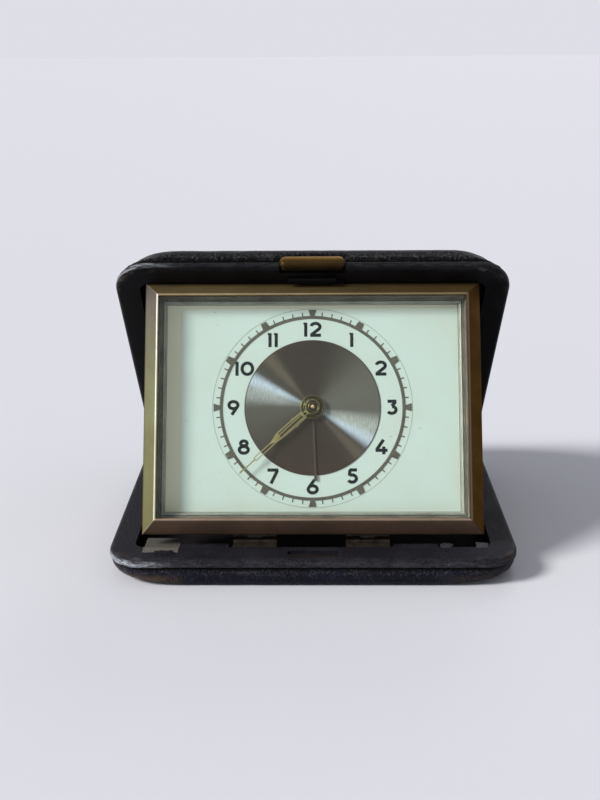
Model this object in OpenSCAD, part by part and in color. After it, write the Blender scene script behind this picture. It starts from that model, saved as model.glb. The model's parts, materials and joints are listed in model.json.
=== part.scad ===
// Folding travel alarm clock in a padded leather clamshell case.
// The case stands open on its flat underside. The clock is hinged near the
// front rim and leans back, and the lid rests on the upper bevel of its frame.
// Lengths are millimetres. X runs to the right, -Y is the front, +Z is up, and
// the origin is the centre of the case's underside.

/* [Case] */
// Width of the case from side to side
case_w = 113; // [110:0.5:118]
// Depth of the case from its back edge to its front edge
case_d = 89.5; // [89:0.5:94]
// Corner radius of the case seen from above
case_r = 10; // [8:0.5:12]
// Height of the lower half, and of the lid at its edge
half_h = 8.3; // [8:0.1:10]
// Height of the padded lid at its crown
lid_crown_h = 13; // [12.8:0.1:16]
// Height of the wrapped rim round each mouth
rim_h = 2.6; // [2.2:0.1:3]
// Width of the rims along the sides
rim_side_w = 7; // [5:0.1:7.6]
// Width of the lower rim along the front
base_rim_front_w = 8; // [7.2:0.1:8.4]
// Width of the lid rim along the front
lid_rim_front_w = 6.4; // [6:0.1:7]
// Width of the rims along the back
rim_back_w = 2.8; // [2:0.1:3]
// Thickness of the padded leather
cover_t = 1; // [0.8:0.05:1.2]
// Thickness of the sheet metal pan inside the leather
pan_t = 0.5; // [0.4:0.05:0.6]
// Thickness of the lining
lining_t = 0.4; // [0.3:0.05:0.5]

/* [Stand] */
// Angle that the clock leans back from upright
clock_lean = 25.2; // [24:0.1:28]
// Distance from the case hinge to the clock hinge
pivot_y = 78; // [77.5:0.1:80]
// Depth of the clock hinge below the mouth of the lower half
pivot_drop = 0.5; // [0.3:0.05:0.8]
// Distance of the clock hinge behind the frame's rear edge
pivot_back = 4; // [3.8:0.1:4.5]
// Distance of the clock hinge below the frame's lower edge
pivot_below = 1.8; // [1.6:0.1:2.2]
// Play between the lid's rim and the clock's upper bevel
lid_rest_gap = 0.25; // [0.15:0.05:0.4]

/* [Clock frame] */
// Width of the clock frame
frame_w = 95; // [93:0.5:96]
// Height of the clock frame
frame_h = 71.1; // [69:0.1:71.5]
// Width of the frame's sloping bevel seen from the front
bevel_w = 3.9; // [3.4:0.1:4.4]
// Depth of the sloping bevel from front to back
bevel_d = 4.8; // [4.2:0.1:5.2]
// Thickness of the frame's upright edge behind the bevel
frame_edge_t = 1; // [0.8:0.1:1.3]
// Width of the flat land along the front of the bevel
bevel_land = 0.5; // [0.3:0.05:0.7]
// Thickness of the front glass
glass_t = 1.2; // [1:0.1:1.4]

/* [Dial] */
// Thickness of the dial plate
dial_t = 0.5; // [0.4:0.05:0.6]
// Depth of the dial's face behind the frame's rear edge of bevel
dial_sink = 0.7; // [0.6:0.05:0.9]
// Radius of the spun metal disc in the middle of the dial
disc_r = 19.2; // [17:0.1:20]
// Thickness of the spun metal disc
disc_t = 0.15; // [0.1:0.05:0.2]
// Inner radius of the hour track
track_r = 25.3; // [24.5:0.1:25.5]
// Width of the hour track's ring
track_w = 0.9; // [0.7:0.05:1]
// Thickness of the hour track
track_t = 0.1; // [0.08:0.01:0.15]
// Length of the minute hand from its axis
minute_len = 27.7; // [26:0.1:27.9]
// Length of the hour hand from its axis
hour_len = 16.2; // [14:0.1:18]
// Length of the alarm hand from its axis
alarm_len = 20.6; // [18:0.1:22]
// Hour shown
show_hour = 7; // [0:1:11]
// Minute shown
show_minute = 37.9; // [0:0.1:59.9]
// Hour that the alarm hand points to
alarm_hour = 5.92; // [0:0.01:11.99]

/* [Movement] */
// Depth of the movement housing behind the frame's rear edge of bevel
housing_d = 8.2; // [8:0.1:8.4]
// Inset of the housing from the frame's outline
housing_inset = 1.5; // [1.2:0.1:1.8]
// Thickness of the housing's side walls
housing_t = 0.7; // [0.5:0.05:0.9]
// Thickness of the housing's back
housing_back_t = 0.6; // [0.5:0.05:0.7]
// Radius of the movement plates
plate_r = 28; // [27.5:0.1:29]
// Thickness of each movement plate
plate_t = 0.8; // [0.6:0.05:0.9]
// Radius of the going barrel's drum
barrel_r = 8.8; // [8.4:0.1:8.9]
// Radius of the alarm barrel's drum
alarm_barrel_r = 7.2; // [6.8:0.1:7.3]
// Radius of the balance wheel
balance_r = 6.2; // [5.6:0.1:6.3]
// Width of each winding key across its wings
key_w = 12; // [10:0.1:12.4]
// Radius of the hand setting knobs
knob_r = 3; // [2.6:0.1:3.1]

/* [Clasp] */
// Width of the clasp's push button
button_w = 18.3; // [16:0.1:20]
// Height of the clasp's push button
button_h = 4; // [3.6:0.1:4.2]
// Travel of the clasp's push button
button_travel = 1; // [0.8:0.05:1]

/* [Hidden] */

over = 0.5;            // overrun of every cut
coarse = 32;           // facets of rounds that hulls join
fine = 48;             // facets of small rounds
smooth = 96;           // facets of large rounds
play = 0.04;           // radial play of each running fit
seat = 0.05;           // play of pieces that are let into each other
slice = 0.05;          // thickness of the slices that hulls join

// Case values
hinge_gap = 1.4;       // from the case hinge's axis to the back edge
knuckle_r = 1.2;       // case hinge knuckle
case_pin_r = 0.5;      // case hinge pin
case_leaf_t = 0.5;     // case hinge leaf
case_leaf_h = 3.6;     // reach of the case hinge leaves down the back
case_hinge_w = 84;     // length of the case hinge
case_knuckles = 7;     // knuckles along the case hinge, both leaves
knuckle_gap = 0.1;     // side play between knuckles
rim_arris = 1.1;       // rounding of the rim's outer edge at the mouth
rim_groove = 0.7;      // rounding of the rim beside the groove
pad_inset = 0.5;       // inset of the padded leather from the rim
pad_groove = 0.9;      // rounding of the padded leather beside the groove
pad_foot = 1.2;        // rounding of the padded leather round the underside
opening_r = 3;         // corner radius of each mouth
lid_wall_h = 2.5;      // height of the padded lid's upright wall
lid_side_rise = 6;     // inset of the lid's crown along the sides
lid_end_rise = 16;     // inset of the lid's crown along front and back
crown_steps = 10;      // flats along each side of the lid's crown

mouth_z = half_h;
case_mid = hinge_gap + case_d / 2;
hinge_y = case_mid;
open_w = case_w - 2 * rim_side_w;
base_open_front = hinge_gap + case_d - base_rim_front_w;
lid_open_front = hinge_gap + case_d - lid_rim_front_w;
case_front = hinge_gap + case_d;
pan_inset = pad_inset + cover_t;
lining_inset = pan_inset + pan_t;
inside_inset = lining_inset + lining_t;
base_floor = half_h - cover_t - pan_t - lining_t;

// Stand geometry in the side plane: first the distance from the case hinge
// towards the front, then the height above the mouth of the lower half.
up_dir = [-sin(clock_lean), cos(clock_lean)];
front_dir = [cos(clock_lean), sin(clock_lean)];
pivot_at = [pivot_y, -pivot_drop];
frame_low = pivot_at + pivot_back * front_dir + pivot_below * up_dir;
frame_top = frame_low + frame_h * up_dir;
bevel_out = bevel_d * up_dir + bevel_w * front_dir;
bevel_norm = bevel_out / norm(bevel_out);
rest_reach = bevel_norm * frame_top + lid_rest_gap;
lid_open = atan2(bevel_norm[1], bevel_norm[0]) - acos(rest_reach / lid_open_front);

// Clock hinge values
leaf_t = 0.6;
clock_knuckle_r = 1;
clock_pin_r = 0.45;
leaf_w = 12.3;
leaf_left = -16.2;     // middle of the left hinge
leaf_right = 15.4;     // middle of the right hinge
leaf_back_reach = 3.4; // moving leaf's flange behind its web
leaf_front_reach = 2;  // moving leaf's flange ahead of its web
rail_side_gap = 3.5;   // from the rim's opening to each end of the rail
rail_w = open_w - 2 * rail_side_gap;
rail_gap = 0.3;        // from the knuckles to the rail
recess_w = 19.2;       // recess in the middle of the rail
recess_d = 2;
right_recess_w = 12;   // recess near the right end of the rail
right_recess_in = 3;   // from the rail's end to the recess's middle
right_recess_x = rail_w / 2 - right_recess_in;
right_recess_d = 1.6;

// Clock frame values
land_inset = bevel_w + bevel_land;
lip_t = 0.5;           // lip that the glass lies behind
lip_w = 0.25;
pocket_inset = land_inset - lip_w;
wall_t = 0.4;          // upright wall of the inner bezel
ledge_w = 1.1;         // ledge of the inner bezel
ledge_h = 0.8;         // ledge's height ahead of the frame's rear edge
glass_back = bevel_d - lip_t - glass_t;
dial_face = -dial_sink;
dial_back = dial_face - dial_t;
foot_r = 0.9;
foot_places_share = [[-0.72, 0.5], [0.72, 0.5], [0, -0.86]];
housing_r = 2.5;

// Hour track values
block_in = 25.6;
block_out = 27.9;
block_wide = 2.3;
block_narrow = 1.7;
quarter_point = 0.9;

// Hands, in order of height over the dial
pipe_gap = 1.75;       // radius of the hole in the dial
alarm_hand_z = -0.3;
hour_hand_z = 0.35;
minute_hand_z = 1.05;
hand_t = 0.2;
centre_pin_top = 1.9;
centre_arbor_r = 0.5;
cannon_pipe_r = 0.9;
hour_pipe_r = 1.3;
alarm_pipe_r = 1.65;
minute_boss_r = 2.1;
hour_boss_r = 3.4;
alarm_boss_r = 2.6;
minute_w = 1.2;
minute_body_share = 0.79;
rail_share = 0.22;
needle_w = 0.35;
hour_w = 2.3;
hour_wing_w = 3;
hour_wing_from = 6.4;
hour_wing_len = 0.6;
hour_tip_from = 12.6;
hour_rail = 0.35;
alarm_w = 0.45;
alarm_tip_w = 0.8;
alarm_tip_len = 1.4;
minute_angle = -6 * show_minute;
hour_angle = -30 * (show_hour + show_minute / 60);
alarm_angle = -30 * alarm_hour;

// Movement levels behind the dial
motion_gap = 1.7;      // from the dial to the front plate
train_gap = 2.8;       // between the plates
front_plate_z = dial_back - motion_gap;
train_top = front_plate_z - plate_t;
train_low = train_top - train_gap;
back_plate_low = train_low - plate_t;
housing_back = -housing_d;
housing_floor = housing_back + housing_back_t;
wheel_t = 0.3;
level_step = 0.55;
first_level = 0.3;
level_1 = train_top - first_level - wheel_t;
level_2 = level_1 - level_step;
level_3 = level_2 - level_step;
level_4 = level_3 - level_step;
hole_play = 0.03;
pivot_r = 0.3;
arbor_r = 0.4;
set_arbor_r = 0.45;
wind_arbor_r = 0.9;
end_shake = 0.05;
tooth_add_share = 0.7;
tooth_ded_share = 1.05;
tooth_root_share = 0.25;
tooth_tip_share = 0.1;
rim_share = 0.8;
hub_share = 0.22;
spoke_w = 0.7;

// Tooth counts and modules
barrel_n = 48;
centre_pin_n = 8;
barrel_m = 0.4;
centre_n = 48;
third_pin_n = 6;
centre_m = 0.28;
third_n = 45;
fourth_pin_n = 6;
third_m = 0.25;
fourth_n = 48;
escape_pin_n = 6;
fourth_m = 0.22;
cannon_n = 12;
minute_n = 36;
cannon_m = 0.35;
minute_pin_n = 10;
hour_n = 40;
hour_m = cannon_m * (cannon_n + minute_n) / (minute_pin_n + hour_n);
alarm_n = 40;
alarm_pin_n = 10;
alarm_m = 0.3;
alarm_barrel_n = 36;
strike_pin_n = 6;
alarm_barrel_m = 0.42;
escape_n = 15;
strike_n = 12;

function gear_reach(a, b, m) = m * (a + b) / 2;
function from(place, reach, angle) = place + reach * [cos(angle), sin(angle)];

// Directions of the arbors round the movement
barrel_dir = 210;
third_dir = 100;
fourth_dir = 20;
escape_dir = 60;
pallet_dir = 150;
balance_dir = 178;
minute_dir = -80;
alarm_set_dir = 10;
strike_dir = 75;
hammer_dir = 55;

centre_at = [0, 0];
barrel_at = from(centre_at, gear_reach(barrel_n, centre_pin_n, barrel_m), barrel_dir);
third_at = from(centre_at, gear_reach(centre_n, third_pin_n, centre_m), third_dir);
fourth_at = from(third_at, gear_reach(third_n, fourth_pin_n, third_m), fourth_dir);
escape_at = from(fourth_at, gear_reach(fourth_n, escape_pin_n, fourth_m), escape_dir);
pallet_reach = 5.6;
balance_reach = 8.5;
pallet_at = from(escape_at, pallet_reach, pallet_dir);
balance_at = from(pallet_at, balance_reach, balance_dir);
minute_at = from(centre_at, gear_reach(cannon_n, minute_n, cannon_m), minute_dir);
alarm_set_at = from(centre_at, gear_reach(alarm_n, alarm_pin_n, alarm_m), alarm_set_dir);
alarm_barrel_at = [13.5, -9];
strike_at = from(alarm_barrel_at, gear_reach(alarm_barrel_n, strike_pin_n, alarm_barrel_m), strike_dir);
hammer_reach = 5.6;
hammer_at = from(strike_at, hammer_reach, hammer_dir);
stop_at = [22.4, 12.6];
pillar_reach_share = 0.9;
pillar_dirs = [40, 138, 232, 318];
pillar_r = 1.4;
screw_r = 0.7;
screw_head_r = 1.5;
screw_head_t = 0.3;
washer_r = 1.7;

// Escapement and alarm striking pieces
escape_r = 3.9;
escape_root_share = 0.78;
club_lead_share = 0.35;
club_tip_share = 0.5;
stone_gap = 0.55;
stone_w = 0.5;
stone_spread = 38;
fork_w = 0.6;
fork_stop = 1.9;       // from the fork's mouth to the balance's axis
fork_mouth_w = 1.5;
fork_notch_w = 0.6;
fork_notch_d = 0.7;
roller_r = 1;
roller_t = 0.3;
balance_rim_w = 0.8;
balance_rim_t = 0.45;
coil_turns = 4;
coil_steps = 20;
coil_in = 0.9;
coil_out = 4.2;
coil_w = 0.12;
coil_h = 0.3;
coil_dir = 160;
stud_r = 0.35;
strike_r = 3.8;
strike_root_share = 0.7;
anchor_gap = 0.5;
anchor_w = 0.6;
hammer_arm_w = 0.7;
hammer_arm_len = 8.2;
hammer_arm_dir = 96;
hammer_head_r = 1.6;
hammer_head_t = 1.6;
stop_pin_r = 0.8;
stop_cap_r = 1.6;
stop_cap_t = 0.6;
stop_travel = 0.6;
regulator_w = 0.8;
regulator_len = 7;
regulator_boss_r = 0.9;
regulator_pin_r = 0.4;
regulator_swing = 15;
regulator_stops = 6;   // steps in which the slot is cut
regulator_ring_r = 1.6;
regulator_dir = 40;

// Keys and knobs behind the housing
back_gap = 0.15;
time_key_dir = 20;
alarm_key_dir = -25;
key_t = 0.8;
key_hub_r = 2;
key_hub_t = 1.2;
key_wing_h = 7;
key_hole_r = 1;
knob_t = 1;
knob_ribs = 16;
knob_rib_r = 0.35;

// Clasp values
button_low = 0;        // from the mouth to the button
button_proud = 1.1;    // how far the button stands out of the front
button_in = 0.9;       // depth of the button in its recess
button_r = 1.7;
dome_in = 0.9;         // inset of the button's face from its outline
dome_share = [[0, 0], [0.6, 0], [0.88, 0.4], [1, 1]];
recess_gap = 0.15;
stem_w = 5.6;
stem_h = 1;
stem_lift = 0.25;      // from the rim to the stem
spring_room = 1.7;     // from the rim's inner edge to the hook
hook_w = 13.6;
hook_t = 0.8;
hook_y = lid_open_front + spring_room;
hook_reach = 1.6;      // how far the hook stands out of the mouth
hook_nose = 0.6;
hook_nose_h = 0.6;
hook_in = 4.6;
bracket_t = 0.4;
bracket_h = 2.4;
spring_w = 11;
spring_t = 0.2;
spring_h = 1.2;
catch_t = 0.9;
catch_d = 1.6;
catch_gap = 0.15;

// Placement of the three frames of work
module at_base() {
    translate([0, hinge_y, mouth_z]) rotate([180, 0, 0]) children();
}

module at_lid() {
    translate([0, hinge_y, mouth_z]) rotate([-lid_open, 0, 0]) rotate([0, 0, 180]) children();
}

module at_clock() {
    translate([0, hinge_y - pivot_y, mouth_z - pivot_drop])
        rotate([90 - clock_lean, 0, 0])
            translate([0, pivot_below + frame_h / 2, pivot_back]) children();
}

// Shared shapes
module round_rect(w, d, r) {
    square([w - 2 * r, d], center = true);
    square([w, d - 2 * r], center = true);
    for (x = [-1, 1], y = [-1, 1])
        translate([x * (w / 2 - r), y * (d / 2 - r)]) circle(r, $fn = fine);
}

module corner_cut(e) {
    difference() {
        square([e + over, e + over]);
        circle(e, $fn = fine);
    }
}

module slab_section(w, h, e_low, e_high) {
    difference() {
        translate([-w / 2, 0]) square([w, h]);
        for (x = [0, 1]) mirror([x, 0]) {
            translate([w / 2 - e_high, h - e_high]) corner_cut(e_high);
            translate([w / 2 - e_low, e_low]) mirror([0, 1]) corner_cut(e_low);
        }
    }
}

// Slab with rounded corners whose outer edges are rounded as well
module soft_slab(w, d, h, r, e_low, e_high) {
    for (x = [-1, 1], y = [-1, 1])
        translate([x * (w / 2 - r), y * (d / 2 - r), 0])
            rotate_extrude($fn = smooth)
                intersection() {
                    slab_section(2 * r, h, e_low, e_high);
                    square([r, h]);
                }
    translate([0, d / 2 - r, 0]) rotate([90, 0, 0])
        linear_extrude(d - 2 * r) slab_section(w, h, e_low, e_high);
    translate([r - w / 2, 0, 0]) rotate([90, 0, 90])
        linear_extrude(w - 2 * r) slab_section(d, h, e_low, e_high);
}

module tooth_ring(n, m, phase) {
    pitch = 360 / n;
    root = m * (n / 2 - tooth_ded_share);
    tip = m * (n / 2 + tooth_add_share);
    polygon([
        for (i = [0 : n - 1])
            for (p = [[root, -tooth_root_share], [tip, -tooth_tip_share],
                      [tip, tooth_tip_share], [root, tooth_root_share]])
                p[0] * [cos(phase + (i + p[1]) * pitch), sin(phase + (i + p[1]) * pitch)]
    ]);
}

// Spoked wheel blank: teeth outside, a rim, four spokes and a hub
module spoked(n, m, phase, bore) {
    rim = m * n / 2 * rim_share;
    difference() {
        tooth_ring(n, m, phase);
        difference() {
            circle(rim, $fn = fine);
            circle(rim * hub_share + bore, $fn = fine);
            for (a = [0, 90]) rotate(a) square([2 * rim, spoke_w], center = true);
        }
        circle(bore, $fn = fine);
    }
}

module disc(z0, z1, r) {
    translate([0, 0, z0]) cylinder(h = z1 - z0, r = r, $fn = fine);
}

module bore_at(place, z0, z1, r) {
    translate([place[0], place[1], z0 - over])
        cylinder(h = z1 - z0 + 2 * over, r = r + hole_play, $fn = fine);
}

module arbor(low, high) {
    disc(low - plate_t + end_shake, high + plate_t - end_shake, pivot_r);
    disc(low + end_shake, high - end_shake, arbor_r);
}

// Lower half of the case
module mouth_opening(front_w, depth) {
    clear_d = case_d - rim_back_w - front_w;
    translate([0, hinge_gap + rim_back_w + clear_d / 2, -over])
        linear_extrude(depth + 2 * over) round_rect(open_w, clear_d, opening_r);
}

module tray_fill(inset, z0, z1) {
    translate([0, case_mid, z0])
        linear_extrude(z1 - z0)
            round_rect(case_w - 2 * inset, case_d - 2 * inset, case_r - inset);
}

module rim(front_w) {
    difference() {
        translate([0, case_mid, 0]) soft_slab(case_w, case_d, rim_h, case_r, rim_arris, rim_groove);
        mouth_opening(front_w, rim_h);
    }
}

module base_rim() {
    color("#1d1c21") at_base() difference() {
        rim(base_rim_front_w);
        translate([-hook_w / 2 - catch_gap, hook_y - button_travel - catch_gap, -over])
            cube([hook_w + 2 * catch_gap, button_travel + hook_t + hook_nose + 2 * catch_gap,
                  hook_reach + catch_gap + over]);
        translate([-hook_w / 2 - catch_gap, hook_y + hook_t + catch_gap, -over])
            cube([hook_w + 2 * catch_gap, catch_d, catch_t + over]);
    }
}

module catch_plate() {
    color("#4a4038") at_base()
        translate([-hook_w / 2 - catch_gap, hook_y + hook_t + catch_gap, 0])
            cube([hook_w + 2 * catch_gap, catch_d, catch_t]);
}

module base_cover() {
    color("#17161b") at_base() difference() {
        translate([0, case_mid, rim_h])
            soft_slab(case_w - 2 * pad_inset, case_d - 2 * pad_inset, half_h - rim_h,
                      case_r - pad_inset, pad_groove, pad_foot);
        tray_fill(pan_inset, rim_h - over, half_h - cover_t);
    }
}

module base_pan() {
    color("#6d6a66") at_base() difference() {
        tray_fill(pan_inset, rim_h, half_h - cover_t);
        tray_fill(lining_inset, rim_h - over, half_h - cover_t - pan_t);
    }
}

module base_lining() {
    color("#3b3433") at_base() difference() {
        tray_fill(lining_inset, rim_h, half_h - cover_t - pan_t);
        tray_fill(inside_inset, rim_h - over, base_floor);
    }
}

module hinge_rail() {
    rail_back = pivot_y + clock_knuckle_r + rail_gap;
    rail_top = pivot_drop + leaf_t;
    color("#4d4540") at_base() difference() {
        translate([-rail_w / 2, rail_back, rail_top])
            cube([rail_w, base_open_front - rail_back, base_floor - rail_top]);
        translate([-recess_w / 2, rail_back - over, rail_top - over])
            cube([recess_w, base_open_front - rail_back, recess_d + over]);
        translate([right_recess_x - right_recess_w / 2, rail_back - over, rail_top - over])
            cube([right_recess_w, base_open_front - rail_back, right_recess_d + over]);
    }
}

// Case hinge along the back
module knuckle_row(first) {
    pitch = case_hinge_w / case_knuckles;
    rotate([0, 90, 0])
        for (i = [first : 2 : case_knuckles - 1])
            translate([0, 0, -case_hinge_w / 2 + i * pitch + knuckle_gap / 2])
                difference() {
                    cylinder(h = pitch - knuckle_gap, r = knuckle_r, $fn = fine);
                    translate([0, 0, -over])
                        cylinder(h = pitch + over, r = case_pin_r + play, $fn = fine);
                }
}

module case_leaf(first) {
    pitch = case_hinge_w / case_knuckles;
    knuckle_row(first);
    translate([-case_hinge_w / 2, hinge_gap - case_leaf_t, knuckle_r + knuckle_gap])
        cube([case_hinge_w, case_leaf_t, case_leaf_h]);
    for (i = [first : 2 : case_knuckles - 1])
        translate([-case_hinge_w / 2 + i * pitch + knuckle_gap / 2, hinge_gap - case_leaf_t, 0])
            difference() {
                cube([pitch - knuckle_gap, case_leaf_t, knuckle_r + 2 * knuckle_gap]);
                translate([-over, case_leaf_t - hinge_gap, 0]) rotate([0, 90, 0])
                    cylinder(h = pitch + 2 * over, r = case_pin_r + play, $fn = fine);
            }
}

module case_hinge_base_leaf() {
    color("#3a3733") at_base() case_leaf(0);
}

module case_hinge_lid_leaf() {
    color("#3a3733") at_lid() case_leaf(1);
}

module case_hinge_pin() {
    color("#5a5650") at_base() translate([-case_hinge_w / 2, 0, 0]) rotate([0, 90, 0])
        cylinder(h = case_hinge_w, r = case_pin_r, $fn = fine);
}

// Lid: the padded form swells from its rim to a crown
module crown_section(w, rise, start, low, top) {
    function side(s) = [for (i = [0 : crown_steps]) let (a = 90 * i / crown_steps)
        [s * (w / 2 - rise * (1 - cos(a))), low + (top - low) * sin(a)]];
    right = side(1);
    left = side(-1);
    polygon(concat([[w / 2, start]], right, [for (i = [crown_steps : -1 : 0]) left[i]], [[-w / 2, start]]));
}

module lid_form(inset, start) {
    thick = inset - pad_inset;
    top = lid_crown_h - thick;
    low = rim_h + lid_wall_h - thick;
    plan_w = case_w - 2 * inset;
    plan_d = case_d - 2 * inset;
    translate([0, case_mid, 0]) intersection() {
        translate([0, 0, start]) linear_extrude(top) round_rect(plan_w, plan_d, case_r - inset);
        translate([0, plan_d / 2, 0]) rotate([90, 0, 0]) linear_extrude(plan_d)
            crown_section(plan_w, lid_side_rise, start, low, top);
        translate([-plan_w / 2, 0, 0]) rotate([90, 0, 90]) linear_extrude(plan_w)
            crown_section(plan_d, lid_end_rise, start, low, top);
    }
}

module clasp_recess(grow) {
    back = case_front - button_in - button_travel - grow;
    translate([-button_w / 2 - grow, back, button_low - grow])
        cube([button_w + 2 * grow, case_front - back + over, button_h + 2 * grow]);
}

module stem_slot() {
    translate([-stem_w / 2 - recess_gap, lid_open_front, rim_h + stem_lift - recess_gap])
        cube([stem_w + 2 * recess_gap, lid_rim_front_w + over, stem_h + 2 * recess_gap]);
}

module lid_rim() {
    color("#1d1c21") at_lid() difference() {
        rim(lid_rim_front_w);
        clasp_recess(recess_gap);
        translate([-hook_w / 2 - recess_gap, hook_y - button_travel - recess_gap, -over])
            cube([hook_w + 2 * recess_gap, button_travel + hook_t + 2 * recess_gap, rim_h + 2 * over]);
    }
}

module lid_cover() {
    color("#17161b") at_lid() difference() {
        lid_form(pad_inset, rim_h);
        lid_form(pan_inset, rim_h - over);
        clasp_recess(recess_gap);
    }
}

module lid_pan() {
    color("#6d6a66") at_lid() difference() {
        lid_form(pan_inset, rim_h);
        lid_form(lining_inset, rim_h - over);
        clasp_recess(recess_gap);
        stem_slot();
    }
}

module lid_lining() {
    color("#3b3433") at_lid() difference() {
        lid_form(lining_inset, rim_h);
        lid_form(inside_inset, rim_h - over);
        stem_slot();
    }
}

// Clasp on the lid's front
module clasp_button() {
    thick = button_proud + button_in;
    color("#8a6f3c") at_lid()
        translate([0, case_front + button_proud - thick, button_low + button_h / 2])
            rotate([-90, 0, 0]) hull()
                for (s = dome_share)
                    translate([0, 0, s[0] * (thick - slice)]) linear_extrude(slice)
                        round_rect(button_w - 2 * s[1] * dome_in, button_h - 2 * s[1] * dome_in,
                                   button_r - s[1] * dome_in, $fn = coarse);
}

module clasp_hook() {
    stem_z = rim_h + stem_lift;
    color("#35322f") at_lid() {
        translate([-hook_w / 2, hook_y, -hook_reach]) cube([hook_w, hook_t, hook_reach + hook_in]);
        translate([-hook_w / 2, hook_y + hook_t - slice, -hook_reach])
            cube([hook_w, hook_nose + slice, hook_nose_h]);
        translate([-stem_w / 2, hook_y + hook_t - slice, stem_z])
            cube([stem_w, case_front - button_in - hook_y - hook_t + slice, stem_h]);
    }
}

module clasp_bracket() {
    ear_x = hook_w / 2 + recess_gap + seat;
    color("#4a4642") at_lid() translate([0, lid_open_front, rim_h]) {
        translate([-ear_x - bracket_t, 0, 0]) cube([2 * (ear_x + bracket_t), bracket_t, bracket_h]);
        for (x = [-ear_x - bracket_t, ear_x])
            translate([x, bracket_t - slice, 0])
                cube([bracket_t, spring_room + hook_t - bracket_t, bracket_h]);
    }
}

module clasp_spring() {
    gap = spring_room - bracket_t - seat;
    bow = gap - spring_t;
    bow_r = (spring_w * spring_w / 4 + bow * bow) / (2 * bow);
    color("#77736c") at_lid()
        translate([0, hook_y - seat - bow_r, rim_h + (bracket_h - spring_h) / 2])
            linear_extrude(spring_h) intersection() {
                difference() {
                    circle(bow_r, $fn = smooth);
                    circle(bow_r - spring_t, $fn = smooth);
                }
                translate([-spring_w / 2, bow_r - gap]) square([spring_w, gap]);
            }
}

// Clock hinges, a left and a right one
module both_hinges() {
    for (x = [leaf_left, leaf_right]) translate([x, 0, 0]) children();
}

module hinge_knuckle(from_share, to_share) {
    translate([from_share * leaf_w + knuckle_gap / 2, 0, 0]) rotate([0, 90, 0]) difference() {
        cylinder(h = (to_share - from_share) * leaf_w - knuckle_gap, r = clock_knuckle_r, $fn = fine);
        translate([0, 0, -over])
            cylinder(h = leaf_w + over, r = clock_pin_r + play, $fn = fine);
    }
}

module clock_hinge_fixed_leaves() {
    third = 1 / 3;
    color("#6e5a38") at_base() both_hinges() translate([0, pivot_y, pivot_drop]) {
        hinge_knuckle(-third * 1.5, -third / 2);
        hinge_knuckle(third / 2, third * 1.5);
        for (x = [-1, 1]) difference() {
            translate([x * third * leaf_w - third * leaf_w / 2 + knuckle_gap / 2, 0, 0])
                cube([third * leaf_w - knuckle_gap, base_open_front - pivot_y - seat, leaf_t]);
            translate([-leaf_w, 0, 0]) rotate([0, 90, 0])
                cylinder(h = 2 * leaf_w, r = clock_pin_r + play, $fn = fine);
        }
        translate([-leaf_w / 2 + knuckle_gap / 2, clock_knuckle_r + rail_gap, 0])
            cube([leaf_w - knuckle_gap, base_open_front - pivot_y - clock_knuckle_r - rail_gap - seat, leaf_t]);
    }
}

module clock_hinge_moving_leaves() {
    third = 1 / 3;
    web_top = pivot_below + housing_inset;
    color("#6e5a38") at_clock() both_hinges()
        translate([0, -pivot_below - frame_h / 2, -pivot_back]) {
            hinge_knuckle(-third / 2, third / 2);
            difference() {
                translate([-third * leaf_w / 2 + knuckle_gap / 2, 0, -leaf_t / 2])
                    cube([third * leaf_w - knuckle_gap, web_top, leaf_t]);
                translate([-leaf_w, 0, 0]) rotate([0, 90, 0])
                    cylinder(h = 2 * leaf_w, r = clock_pin_r + play, $fn = fine);
            }
            translate([-leaf_w / 2 + knuckle_gap / 2, clock_knuckle_r + rail_gap, -leaf_t / 2])
                cube([leaf_w - knuckle_gap, web_top - clock_knuckle_r - rail_gap, leaf_t]);
            translate([-leaf_w / 2 + knuckle_gap / 2, web_top - leaf_t, -leaf_back_reach])
                cube([leaf_w - knuckle_gap, leaf_t, leaf_back_reach + leaf_front_reach]);
        }
}

module clock_hinge_pins() {
    color("#7c7467") at_base() both_hinges() translate([-leaf_w / 2, pivot_y, pivot_drop])
        rotate([0, 90, 0]) cylinder(h = leaf_w, r = clock_pin_r, $fn = fine);
}

// Clock frame: two crossing prisms leave the mitred bevels
module bevel_section(w) {
    polygon([[-w / 2, -frame_edge_t], [w / 2, -frame_edge_t], [w / 2, 0],
             [w / 2 - bevel_w, bevel_d], [-w / 2 + bevel_w, bevel_d], [-w / 2, 0]]);
}

module window(inset, z0, z1) {
    translate([inset - frame_w / 2, inset - frame_h / 2, z0])
        cube([frame_w - 2 * inset, frame_h - 2 * inset, z1 - z0]);
}

module bezel_frame() {
    color("#7b6a40") at_clock() difference() {
        intersection() {
            translate([0, frame_h / 2, 0]) rotate([90, 0, 0])
                linear_extrude(frame_h) bevel_section(frame_w);
            translate([-frame_w / 2, 0, 0]) rotate([90, 0, 90])
                linear_extrude(frame_w) bevel_section(frame_h);
        }
        window(land_inset, -frame_edge_t - over, bevel_d + over);
        window(pocket_inset, -frame_edge_t - over, bevel_d - lip_t);
    }
}

module inner_bezel() {
    color("#5d5540") at_clock() {
        difference() {
            window(pocket_inset + seat, dial_face, glass_back);
            window(pocket_inset + wall_t, dial_face - over, glass_back + over);
        }
        difference() {
            window(pocket_inset + wall_t - slice, dial_face, ledge_h);
            window(pocket_inset + ledge_w, dial_face - over, ledge_h + over);
        }
    }
}

module front_glass() {
    color("#dfe8e6", 0.25) at_clock() window(pocket_inset + seat, glass_back, glass_back + glass_t);
}

module dial() {
    color("#d3e0d6") at_clock() difference() {
        union() {
            window(pocket_inset + seat, dial_back, dial_face);
            for (p = foot_places_share)
                translate([p[0] * plate_r, p[1] * plate_r, front_plate_z])
                    cylinder(h = motion_gap, r = foot_r, $fn = fine);
        }
        bore_at(centre_at, front_plate_z, dial_face, pipe_gap);
    }
}

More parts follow.
